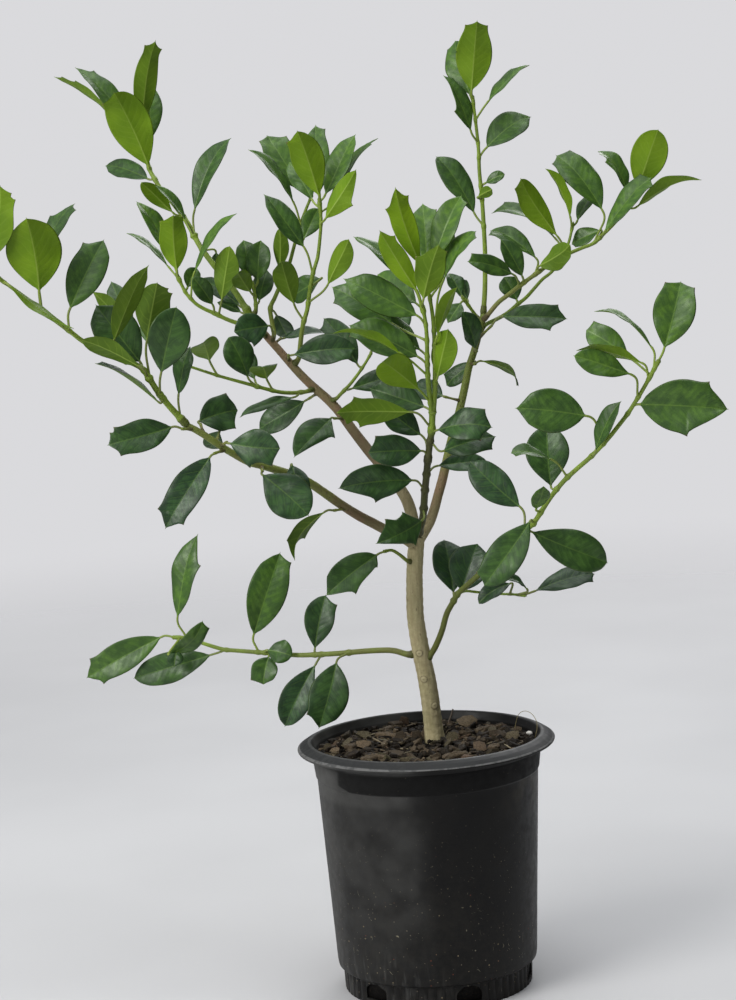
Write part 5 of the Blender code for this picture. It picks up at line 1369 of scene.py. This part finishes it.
def small_finds(grain_finish, grass_finish, root_finish):
    """The white grain, the wiry grass loop and the upright root that lie on the bed."""
    grain = bmesh.new()
    bmesh.ops.create_icosphere(grain, subdivisions=3, radius=0.0019)
    for vertex in grain.verts:
        vertex.co *= 1 + 0.3 * noise.noise(vertex.co * 700) + 0.1 * noise.noise(vertex.co * 2600)
        vertex.co.x *= 1.35
        vertex.co.z *= 0.75
    points = [tuple(vertex.co + Vector(PERLITE)) for vertex in grain.verts]
    faces = [[vertex.index for vertex in face.verts] for face in grain.faces]
    grain.free()
    add_piece("white_grain", points, faces, [grain_finish], "potting_mix")
    for name, path, radius, finish in (("grass_loop", GRASS, GRASS_RADIUS, grass_finish),
                                       ("upright_root", ROOT, ROOT_RADIUS, root_finish)):
        line, lengths = spline([place(*point) for point in path], 0.0012)
        _, across, around = frames_along(line)
        taper = radius * (0.35 + 0.65 * np.sin(pi * np.clip(lengths / lengths[-1], 0.06, 0.94)) ** 0.4)
        shape = Shape()
        shape.skin(tube(line, taper, across, around, 7))
        shape.piece(name, [finish], "potting_mix", "bark_mix")


# Finishes

class Paint:
    """A tree of shader nodes. Each input takes a value or another node's output."""

    def __init__(self, tree):
        self.tree = tree

    def give(self, value, socket):
        if isinstance(value, bpy.types.NodeSocket):
            self.tree.links.new(value, socket)
        else:
            socket.default_value = value

    def node(self, kind, inputs, **settings):
        node = self.tree.nodes.new("ShaderNode" + kind)
        for name, value in settings.items():
            setattr(node, name, value)
        for key, value in inputs.items():
            self.give(value, node.inputs[key])
        return node

    def calc(self, operation, *values):
        return self.node("Math", dict(enumerate(values)), operation=operation).outputs[0]

    def times(self, product, *values):
        for value in values:
            product = self.calc("MULTIPLY", product, value)
        return product

    def plus(self, total, *values):
        for value in values:
            total = self.calc("ADD", total, value)
        return total

    def minus(self, value, other):
        return self.calc("SUBTRACT", value, other)

    def scaled(self, value, factor, base):
        """The value times the factor, plus the base."""
        return self.calc("MULTIPLY_ADD", value, factor, base)

    def ramp(self, value, low, high, to_low=0.0, to_high=1.0):
        """A smooth step that is to_low at low and to_high at high."""
        inputs = {"Value": value, "From Min": low, "From Max": high, "To Min": to_low, "To Max": to_high}
        return self.node("MapRange", inputs, interpolation_type="SMOOTHSTEP").outputs[0]

    def blend(self, share, one, other):
        one, other = ((*colour, 1.0) if isinstance(colour, tuple) else colour for colour in (one, other))
        return self.node("Mix", {0: share, 6: one, 7: other}, data_type="RGBA").outputs[2]

    def noise(self, vector, scale, detail=3.0, roughness=0.5):
        inputs = {"Vector": vector, "Scale": scale, "Detail": detail, "Roughness": roughness}
        return self.node("TexNoise", inputs).outputs["Fac"]

    def split(self, vector):
        return self.node("SeparateXYZ", {0: vector}).outputs

    def mark(self, name):
        """The three numbers of a painted mark."""
        return self.split(self.node("Attribute", {}, attribute_name=name).outputs["Vector"])

    def here(self):
        return self.node("TexCoord", {}).outputs["Object"]

    def drawn_out(self, vector, height):
        """A place with its height scaled, which draws out or flattens the pattern that is laid on it."""
        return self.node("VectorMath", {0: vector, 1: (1.0, 1.0, height)}, operation="MULTIPLY").outputs[0]

    def reach(self, vector):
        return self.node("VectorMath", {0: vector}, operation="LENGTH").outputs["Value"]

    def use(self, effect, **inputs):
        """The outputs of an effect. Its inputs are given by name."""
        node = self.tree.nodes.new("ShaderNodeGroup")
        node.node_tree = effect.tree
        for name, value in inputs.items():
            self.give(value, node.inputs[name.replace("_", " ")])
        return node.outputs


class Effect(Paint):
    """A group of nodes with named inputs and outputs, built once for all finishes that use it."""

    def __init__(self, name, inputs, outputs):
        super().__init__(bpy.data.node_groups.new(name, "ShaderNodeTree"))
        for label, value in inputs.items():
            kind = "NodeSocketVector" if value is None else "NodeSocketFloat"
            socket = self.tree.interface.new_socket(name=label, in_out="INPUT", socket_type=kind)
            if value is not None:
                socket.default_value = value
        for label in outputs:
            self.tree.interface.new_socket(name=label, in_out="OUTPUT", socket_type="NodeSocketFloat")
        self.taken = self.tree.nodes.new("NodeGroupInput").outputs
        self.given = self.tree.nodes.new("NodeGroupOutput").inputs

    def puts_out(self, label, value):
        self.give(value, self.given[label])


class Finish(Paint):
    """A material. Its constants are set on the shader's own sockets, and its colour is built up in coats."""

    def __init__(self, name, **constants):
        self.material = bpy.data.materials.new(name)
        self.material.use_nodes = True
        super().__init__(self.material.node_tree)
        self.shader = self.tree.nodes["Principled BSDF"].inputs
        for socket, value in constants.items():
            self.shader[socket.replace("_", " ")].default_value = value
        self.colour = None

    def coat(self, colour, *shares):
        """Lays a colour over what is there, as thickly as the product of the shares."""
        self.colour = self.blend(self.times(*shares), self.colour, colour)

    def done(self, rough, height, distance, strength):
        """The material, with its colour, roughness and relief joined to the shader."""
        self.give(self.colour, self.shader["Base Color"])
        self.give(rough, self.shader["Roughness"])
        relief = self.node("Bump", {"Height": height, "Distance": distance, "Strength": strength})
        self.give(relief.outputs[0], self.shader["Normal"])
        return self.material


def leaf_veins_effect():
    """Midrib, side veins, net of small veins and margin of a leaf, drawn from the blade's own marks."""
    paint = Effect("leaf_veins", {"Line Width": 0.0004}, ("Midrib", "Side Veins", "Net", "Margin", "Relief"))
    along, off, q = paint.mark("blade")
    out = paint.calc("ABSOLUTE", off)
    wander = paint.times(paint.minus(paint.noise(paint.here(), 160.0), 0.5), 0.0022)
    slope = paint.scaled(out, VEIN_SLOPE, paint.times(paint.calc("POWER", out, 2.0), VEIN_CURVE))
    course = paint.calc("DIVIDE", paint.plus(paint.minus(along, slope), wander), VEIN_SPACING)
    course = paint.scaled(paint.calc("GREATER_THAN", off, 0.0), 0.5, course)
    place_in = paint.calc("ABSOLUTE", paint.minus(paint.calc("FRACT", course), 0.5))
    gap = paint.times(paint.minus(0.5, place_in), VEIN_SPACING)
    fade = paint.ramp(q, 0.88, 0.55)
    side = paint.times(paint.ramp(gap, paint.taken["Line Width"], 0.0), fade)
    # The midrib thins out and fades towards the tip
    spent = paint.calc("MINIMUM", paint.times(along, 14.0), 0.85)
    rib = paint.ramp(out, paint.scaled(spent, -0.00035, 0.0008), 0.0002)
    rib = paint.times(rib, paint.minus(1.0, paint.times(spent, 0.6)))
    blade_point = paint.node("CombineXYZ", {0: along, 1: off}).outputs[0]
    cells = paint.node("TexVoronoi", {"Vector": blade_point, "Scale": 560.0}, feature="DISTANCE_TO_EDGE")
    net = paint.ramp(cells.outputs["Distance"], 0.16, 0.0)
    bulge = paint.times(paint.minus(1.0, paint.times(place_in, 2.0)), fade)
    paint.puts_out("Midrib", rib)
    paint.puts_out("Side Veins", side)
    paint.puts_out("Net", net)
    paint.puts_out("Margin", paint.ramp(q, 0.93, 0.985))
    paint.puts_out("Relief", paint.minus(paint.times(bulge, 0.5), paint.times(net, 0.04)))
    return paint


def mottle_effect():
    """Soft uneven colour over a surface: two sizes of cloudy patches."""
    paint = Effect("mottle", {"Vector": None, "Scale": 40.0}, ("Patches", "Fine"))
    point, scale = paint.taken["Vector"], paint.taken["Scale"]
    paint.puts_out("Patches", paint.ramp(paint.noise(point, scale, 2.0), 0.3, 0.7))
    paint.puts_out("Fine", paint.ramp(paint.noise(point, paint.times(scale, 7.0), 4.0, 0.6), 0.3, 0.7))
    return paint


def specks_effect():
    """Small scattered specks, such as dust, pores or splashes."""
    paint = Effect("specks", {"Vector": None, "Scale": 300.0, "Share": 0.2, "Size": 0.3}, ("Specks", "Tone"))
    taken = paint.taken
    cells = paint.node("TexVoronoi", {"Vector": taken["Vector"], "Scale": taken["Scale"]})
    chance = paint.node("SeparateColor", {0: cells.outputs["Color"]}).outputs
    there = paint.calc("LESS_THAN", chance[0], taken["Share"])
    size = paint.times(taken["Size"], paint.scaled(chance[1], 0.8, 0.35))
    inside = paint.ramp(paint.calc("DIVIDE", cells.outputs["Distance"], size), 1.0, 0.6)
    paint.puts_out("Specks", paint.times(there, inside))
    paint.puts_out("Tone", chance[2])
    return paint


def leaf_age(paint):
    """A leaf's ripeness with its share of chance, its age alone, and how much of a thorn each place is."""
    age, luck, thorn = paint.mark("leaf")
    return paint.plus(age, paint.times(paint.minus(luck, 0.5), 0.3)), age, thorn


def leaf_upper(veins, mottle, specks):
    paint = Finish("glossy_leaf_upper", Specular_IOR_Level=0.38)
    vein = paint.use(veins, Line_Width=0.0006)
    ripe, age, thorn = leaf_age(paint)
    point = paint.here()
    cloud = paint.use(mottle, Vector=point, Scale=62.0)
    blotch = paint.use(mottle, Vector=point, Scale=150.0)
    marks = paint.use(specks, Vector=point, Scale=95.0, Share=0.1, Size=0.16)
    paint.colour = paint.blend(ripe, (0.085, 0.185, 0.020), (0.018, 0.053, 0.020))
    painted_light_green = paint.blend(ripe, (0.13, 0.26, 0.024), (0.048, 0.118, 0.034))
    shade = paint.blend(ripe, (0.045, 0.115, 0.016), (0.008, 0.027, 0.011))
    # Painted light on the blisters between the veins and on sheen patches, painted shade in blotches and
    # valleys
    blister = paint.times(paint.ramp(vein["Relief"], 0.05, 0.45), paint.ramp(blotch["Patches"], 1.0, 0.2))
    light = paint.times(paint.ramp(cloud["Patches"], 0.35, 1.0), 0.5)
    paint.coat(painted_light_green, paint.scaled(blister, 0.6, light))
    valley = paint.scaled(paint.ramp(vein["Relief"], 0.3, 0.05), 0.4, 0.42)
    paint.coat(shade, paint.ramp(blotch["Patches"], 0.2, 1.0), valley)
    paint.coat((0.010, 0.030, 0.006), blotch["Fine"], 0.2)
    paint.coat((0.006, 0.018, 0.009), paint.ramp(age, 1.0, 1.3), 0.45)
    paint.coat((0.07, 0.14, 0.02), vein["Net"], 0.1)
    paint.coat((0.09, 0.19, 0.03), vein["Side Veins"], 0.3)
    paint.coat((0.17, 0.29, 0.05), vein["Midrib"], paint.scaled(ripe, -0.36, 0.66))
    paint.coat((0.12, 0.16, 0.04), vein["Margin"], 0.3)
    paint.coat((0.20, 0.25, 0.17), marks["Specks"], 0.22)
    paint.coat((0.16, 0.12, 0.07), paint.ramp(thorn, 0.35, 0.9))
    rough = paint.scaled(marks["Specks"], 0.2, paint.scaled(cloud["Fine"], 0.05, 0.31))
    relief = paint.scaled(blotch["Patches"], 0.5, vein["Relief"])
    return paint.done(paint.scaled(blotch["Patches"], 0.14, rough), relief, 0.0004, 0.4)


def leaf_underside(veins, mottle):
    paint = Finish("matt_leaf_underside", Specular_IOR_Level=0.2)
    vein = paint.use(veins, Line_Width=0.0009)
    ripe, _, thorn = leaf_age(paint)
    cloud = paint.use(mottle, Vector=paint.here(), Scale=45.0)
    # The pale yellow-green is partly the underside's own colour, partly painted light shining through the
    # blade
    paint.colour = paint.blend(ripe, (0.22, 0.37, 0.010), (0.080, 0.145, 0.016))
    deeper = paint.blend(ripe, (0.13, 0.25, 0.006), (0.050, 0.100, 0.011))
    paint.coat(deeper, cloud["Patches"], 0.7)
    paint.coat((0.09, 0.17, 0.010), vein["Net"], 0.12)
    paint.coat((0.24, 0.36, 0.04), vein["Side Veins"], 0.2)
    paint.coat((0.30, 0.42, 0.07), vein["Midrib"], 0.75)
    paint.coat((0.24, 0.31, 0.06), vein["Margin"], 0.3)
    paint.coat((0.17, 0.12, 0.07), paint.ramp(thorn, 0.35, 0.9))
    return paint.done(paint.scaled(cloud["Fine"], 0.12, 0.48), vein["Relief"], 0.0003, 0.5)


def leaf_stalk(mottle):
    paint = Finish("leaf_stalk", Specular_IOR_Level=0.4)
    age, _, _ = paint.mark("leaf")
    cloud = paint.use(mottle, Vector=paint.here(), Scale=120.0)
    paint.colour = paint.blend(age, (0.27, 0.39, 0.04), (0.19, 0.21, 0.07))
    paint.coat((0.15, 0.22, 0.03), cloud["Patches"], 0.3)
    return paint.done(paint.scaled(cloud["Fine"], 0.15, 0.38), cloud["Fine"], 0.0001, 0.4)


def stem_bark(mottle, specks):
    """Bark that runs from yellow-green on young growth through olive to tan-grey on old wood."""
    paint = Finish("stem_bark", Specular_IOR_Level=0.35)
    age, scar_and_shade, _ = paint.mark("stem")
    point = paint.here()
    cloud = paint.use(mottle, Vector=point, Scale=90.0)
    pores = paint.use(specks, Vector=paint.drawn_out(point, 0.35), Scale=480.0, Share=0.4, Size=0.3)
    streaks = paint.ramp(paint.noise(paint.drawn_out(point, 0.1), 420.0, 3.0, 0.6), 0.35, 0.65)
    young = paint.blend(cloud["Patches"], (0.23, 0.34, 0.035), (0.17, 0.25, 0.03))
    middle = paint.blend(cloud["Patches"], (0.20, 0.165, 0.075), (0.245, 0.155, 0.088))
    paint.colour = paint.blend(paint.times(streaks, 0.6), (0.52, 0.46, 0.27), (0.30, 0.25, 0.13))
    paint.coat((0.26, 0.20, 0.10), cloud["Fine"], 0.3)
    paint.coat((0.33, 0.31, 0.15), cloud["Patches"], 0.35)
    old = paint.colour
    paint.colour = paint.blend(paint.ramp(age, 0.12, 0.5), young, middle)
    paint.coat(old, paint.ramp(age, 0.55, 1.0))
    paint.coat((0.08, 0.055, 0.03), pores["Specks"], 0.55)
    # Ring scars, knots and the painted shade on the limbs darken the bark
    paint.coat((0.035, 0.024, 0.014), scar_and_shade, 0.85)
    paint.coat((0.60, 0.53, 0.34), scar_and_shade, -0.6)
    rough = paint.plus(paint.times(cloud["Fine"], 0.6), paint.times(pores["Specks"], -0.4))
    return paint.done(paint.scaled(age, 0.4, 0.42), rough, 0.00045, 0.6)


def wall_dust_and_sheen(paint, point, across, height, mottle):
    """Patchy dust and painted sheen on the left half of the wall, lightest on a ridge, at its edge and below
    the band.
    """
    ramp, times = paint.ramp, paint.times
    patchy = paint.use(mottle, Vector=point, Scale=48.0)
    dust_and_sheen = times(ramp(across, 0.004, -0.018), ramp(height, 0.0, 0.10, 0.35, 1.0),
                  paint.scaled(patchy["Patches"], 0.24, 0.08))
    ridge = times(ramp(across, -0.008, -0.019), ramp(across, -0.045, -0.022),
                  ramp(height, 0.05, 0.12, 0.0, 0.10))
    sheen_edge = ramp(across, -0.066, -0.078, 0.0, 0.4)
    sheen_strip = times(ramp(height, 0.154, 0.160), ramp(across, -0.010, -0.024, 0.0, 0.22))
    return paint.plus(dust_and_sheen, ridge, sheen_edge, sheen_strip)


def pot_plastic(mottle, specks):
    paint = Finish("dusty_black_plastic", Specular_IOR_Level=0.2)
    ramp, times, scaled = paint.ramp, paint.times, paint.scaled
    point = paint.here()
    across, back, height = paint.split(point)
    reach = paint.reach(paint.node("CombineXYZ", {0: across, 1: back}).outputs[0])
    cloud = paint.use(mottle, Vector=point, Scale=22.0)
    dust = paint.use(specks, Vector=point, Scale=330.0, Share=0.3, Size=0.2)
    crumbs = paint.use(specks, Vector=point, Scale=250.0, Share=0.5, Size=0.18)
    bent = paint.noise(point, 60.0, 1.0)
    leaning = paint.node("VectorRotate", {"Vector": point, "Angle": times(bent, 3.0)}, rotation_type="Y_AXIS")
    strands = paint.drawn_out(leaning.outputs[0], 0.2)
    hairs = paint.use(specks, Vector=strands, Scale=250.0, Share=0.3, Size=0.19)
    low = ramp(height, 0.165, 0.0)
    gathered = ramp(paint.noise(point, 26.0, 1.0), 0.3, 0.56)
    # Painted shade: the recessed band under the lip is blackest, but for its left end where the light reaches
    band_end = paint.minus(across, ramp(height, 0.172, BAND_FOOT_HEIGHT, 0.0, 0.008))
    shaded_band = times(ramp(height, BAND_FOOT_HEIGHT, BAND_FOOT_HEIGHT + 0.0015),
                    ramp(height, BAND_TOP_HEIGHT + 0.0015, BAND_TOP_HEIGHT - 0.001),
                    ramp(band_end, -0.0695, -0.0665))
    outside_shaded_band = paint.minus(1.0, shaded_band)
    paint.colour = paint.blend(cloud["Patches"], (0.0036, 0.0036, 0.0038), (0.0068, 0.0066, 0.0060))
    # Patchy dust and painted sheen of the light from the left, kept off the shaded band
    dust_and_sheen = times(wall_dust_and_sheen(paint, point, across, height, mottle), outside_shaded_band)
    paint.coat((0.08, 0.08, 0.077), dust_and_sheen)
    # Splashes low on the wall, and a brown smear high on its right side
    splash = ramp(paint.noise(paint.drawn_out(point, 0.18), 210.0, 3.0, 0.6), 0.5, 0.75)
    paint.coat((0.11, 0.11, 0.105), splash, ramp(height, 0.055, 0.010), ramp(across, 0.02, -0.04, 0.1, 0.5))
    smear = times(ramp(across, 0.045, 0.075), ramp(height, 0.13, 0.16), outside_shaded_band, ramp(height, 0.187, 0.175))
    paint.coat((0.07, 0.06, 0.04), smear, ramp(bent, 0.4, 0.6), 0.3)
    paint.coat((0.07, 0.062, 0.05), cloud["Fine"], scaled(low, 0.1, 0.03))
    # Painted shade deepens the band under the lip
    paint.coat((0.0016, 0.0016, 0.0015), shaded_band, 0.7)
    paint.coat((0.15, 0.13, 0.10), dust["Specks"], scaled(low, 0.6, 0.2))
    # Crumbs of soil and short hairs cling to the lower wall
    soil = paint.blend(ramp(crumbs["Tone"], 0.1, 0.3), (0.16, 0.045, 0.025), (0.22, 0.18, 0.11))
    paint.coat(soil, crumbs["Specks"], low, gathered)
    paint.coat((0.26, 0.24, 0.17), hairs["Specks"], low, gathered)
    # The lip's face is greyed by dust and painted sheen, its thin edges lighter by wear and a painted
    # highlight
    on_lip = times(paint.calc("GREATER_THAN", reach, CREST_RADIUS - 0.0012),
                   paint.calc("GREATER_THAN", height, LIP_EDGE_HEIGHT + 0.0006))
    paint.coat((0.026, 0.027, 0.028), on_lip, scaled(cloud["Fine"], 0.25, 0.75))
    edge = times(on_lip, ramp(reach, LIP_RADIUS - 0.0019, LIP_RADIUS - 0.0014))
    ragged_wear_and_highlight = scaled(ramp(paint.noise(point, 240.0, 2.0), 0.35, 0.6), 0.6, 0.4)
    crest = ramp(height, POT_HEIGHT - 0.0009, POT_HEIGHT - 0.0004)
    paint.coat((0.14, 0.14, 0.138), paint.calc("MAXIMUM", times(edge, ragged_wear_and_highlight), times(crest, 0.3)))
    rough = scaled(dust["Specks"], 0.2, scaled(cloud["Fine"], 0.14, 0.4))
    rough = scaled(dust_and_sheen, 0.25, scaled(shaded_band, 0.2, rough))
    grainy = paint.plus(paint.noise(point, 900.0, 2.0), times(dust["Specks"], 0.6))
    return paint.done(rough, grainy, 0.0001, 0.5)


def bark_bits(name, dark, warm, mottle, marked):
    """Broken bark: dark and damp to warm brown, with its layers showing."""
    paint = Finish(name, Specular_IOR_Level=0.16)
    point = paint.here()
    cloud = paint.use(mottle, Vector=point, Scale=150.0)
    layers = paint.noise(paint.drawn_out(point, 4.0), 420.0, 5.0, 0.65)
    if marked:
        tone, hue, straw = paint.mark("bark")
        paint.colour = paint.blend(tone, dark, warm)
        paint.coat((0.12, 0.055, 0.035), paint.ramp(hue, 0.84, 0.95), paint.scaled(tone, 0.8, 0.1), 0.6)
        paint.coat((0.10, 0.095, 0.05), paint.ramp(hue, 0.3, 0.1), tone, 0.8)
        paint.coat((0.40, 0.34, 0.22), straw)
    else:
        paint.colour = paint.blend(paint.times(cloud["Patches"], 0.25), dark, warm)
        # Painted shade: the bed darkens to near black below its top, deep in the pot behind the drain arches
        paint.coat((0.002, 0.0018, 0.0016), paint.ramp(paint.split(point)[2], 0.17, 0.15))
    paint.coat((0.007, 0.005, 0.004), cloud["Fine"], 0.6)
    paint.coat((0.15, 0.105, 0.06), paint.ramp(layers, 0.55, 0.75), 0.25)
    return paint.done(paint.scaled(cloud["Patches"], 0.3, 0.62), layers, 0.0008, 0.9)


def plain_find(name, one, other, scale, mottle):
    paint = Finish(name)
    cloud = paint.use(mottle, Vector=paint.here(), Scale=scale)
    paint.colour = paint.blend(cloud["Fine"], one, other)
    return paint.done(paint.scaled(cloud["Patches"], 0.3, 0.55), cloud["Fine"], 0.0003, 0.7)


# Camera, light and floor

def add_camera():
    camera = bpy.data.objects.new("photo_view", bpy.data.cameras.new("photo_view"))
    ahead = unit(np.array(VIEW_TARGET) - EYE)
    right = unit(np.cross(ahead, [0, 0, 1]))
    up = np.cross(right, ahead)
    roll = radians(VIEW_ROLL)
    across = cos(roll) * right + sin(roll) * up
    upward = -sin(roll) * right + cos(roll) * up
    turned = Matrix(np.column_stack([across, upward, -ahead]).tolist()).to_4x4()
    turned.translation = Vector(EYE)
    camera.matrix_world = turned
    camera.data.lens = VIEW_LENS
    camera.data.sensor_width = VIEW_SENSOR
    camera.data.clip_start, camera.data.clip_end = VIEW_CLIP
    bpy.context.scene.collection.objects.link(camera)
    bpy.context.scene.camera = camera


def add_lamp(name, spot, target, size, power, colour):
    lamp = bpy.data.objects.new(name, bpy.data.lights.new(name, "AREA"))
    lamp.data.shape = "DISK"
    lamp.data.size = size
    lamp.data.energy = power
    lamp.data.color = colour
    lamp.location = spot
    lamp.rotation_mode = "QUATERNION"
    lamp.rotation_quaternion = (Vector(target) - Vector(spot)).to_track_quat("-Z", "Y")
    lamp.visible_camera = False
    bpy.context.scene.collection.objects.link(lamp)


def studio(mottle):
    """A plain pale floor and soft light all round."""
    world = bpy.data.worlds.new("soft_daylight")
    bpy.context.scene.world = world
    world.use_nodes = True
    air = Paint(world.node_tree)
    sky = world.node_tree.nodes.get("Background") or air.node("Background", {})
    seen = air.node("LightPath", {}).outputs["Is Camera Ray"]
    across, _, height = air.split(air.node("TexCoord", {}).outputs["Generated"])
    lit = air.blend(air.ramp(height, -0.1, 0.8), SKY_LOW, SKY_HIGH)
    # The daylight comes from the left, so the right side of the room is dimmer
    shade = air.blend(air.ramp(across, 0.1, 0.7), (1.0, 1.0, 1.0), SKY_SHADE)
    lit = air.node("VectorMath", {0: lit, 1: shade}, operation="MULTIPLY").outputs[0]
    air.give(air.blend(seen, lit, BACKDROP), sky.inputs["Color"])
    corners = [(-FLOOR_HALF, -FLOOR_HALF, 0), (FLOOR_HALF, -FLOOR_HALF, 0),
               (FLOOR_HALF, FLOOR_HALF, 0), (-FLOOR_HALF, FLOOR_HALF, 0)]
    floor = bare_body("floor", corners, [(0, 1, 2, 3)])
    paint = Finish("pale_floor", Specular_IOR_Level=0.3, Roughness=0.8)
    point = paint.here()
    cloud = paint.use(mottle, Vector=point, Scale=3.0)
    pale = paint.blend(cloud["Patches"], (0.64, 0.64, 0.65), (0.60, 0.60, 0.61))
    paint.give(pale, paint.shader["Base Color"])
    paint.give(paint.ramp(paint.reach(point), FLOOR_FADE[1], FLOOR_FADE[0]), paint.shader["Alpha"])
    floor.data.materials.append(paint.material)
    for lamp in LAMPS:
        add_lamp(*lamp)


# Everything together

def build():
    bpy.context.scene.view_settings.view_transform = "Standard"
    add_camera()
    veins, mottle, specks = leaf_veins_effect(), mottle_effect(), specks_effect()
    studio(mottle)
    bark = stem_bark(mottle, specks)
    nursery_pot(pot_plastic(mottle, specks))
    potting_mix(bark_bits("damp_bark_mix", (0.009, 0.007, 0.006), (0.026, 0.018, 0.012), mottle, False))
    chip = bark_bits("broken_bark", (0.013, 0.0100, 0.0068), (0.19, 0.142, 0.090), mottle, True)
    bark_chips(chip)
    bark_crumbs(chip)
    small_finds(plain_find("white_grain", (0.86, 0.85, 0.81), (0.66, 0.63, 0.57), 300.0, mottle),
                plain_find("dry_grass", (0.36, 0.30, 0.13), (0.22, 0.18, 0.08), 200.0, mottle),
                plain_find("thin_root", (0.13, 0.10, 0.075), (0.07, 0.052, 0.04), 200.0, mottle))
    woody_frame(bark)
    grow_shoots(bark, [leaf_upper(veins, mottle, specks), leaf_underside(veins, mottle), leaf_stalk(mottle)])


build()
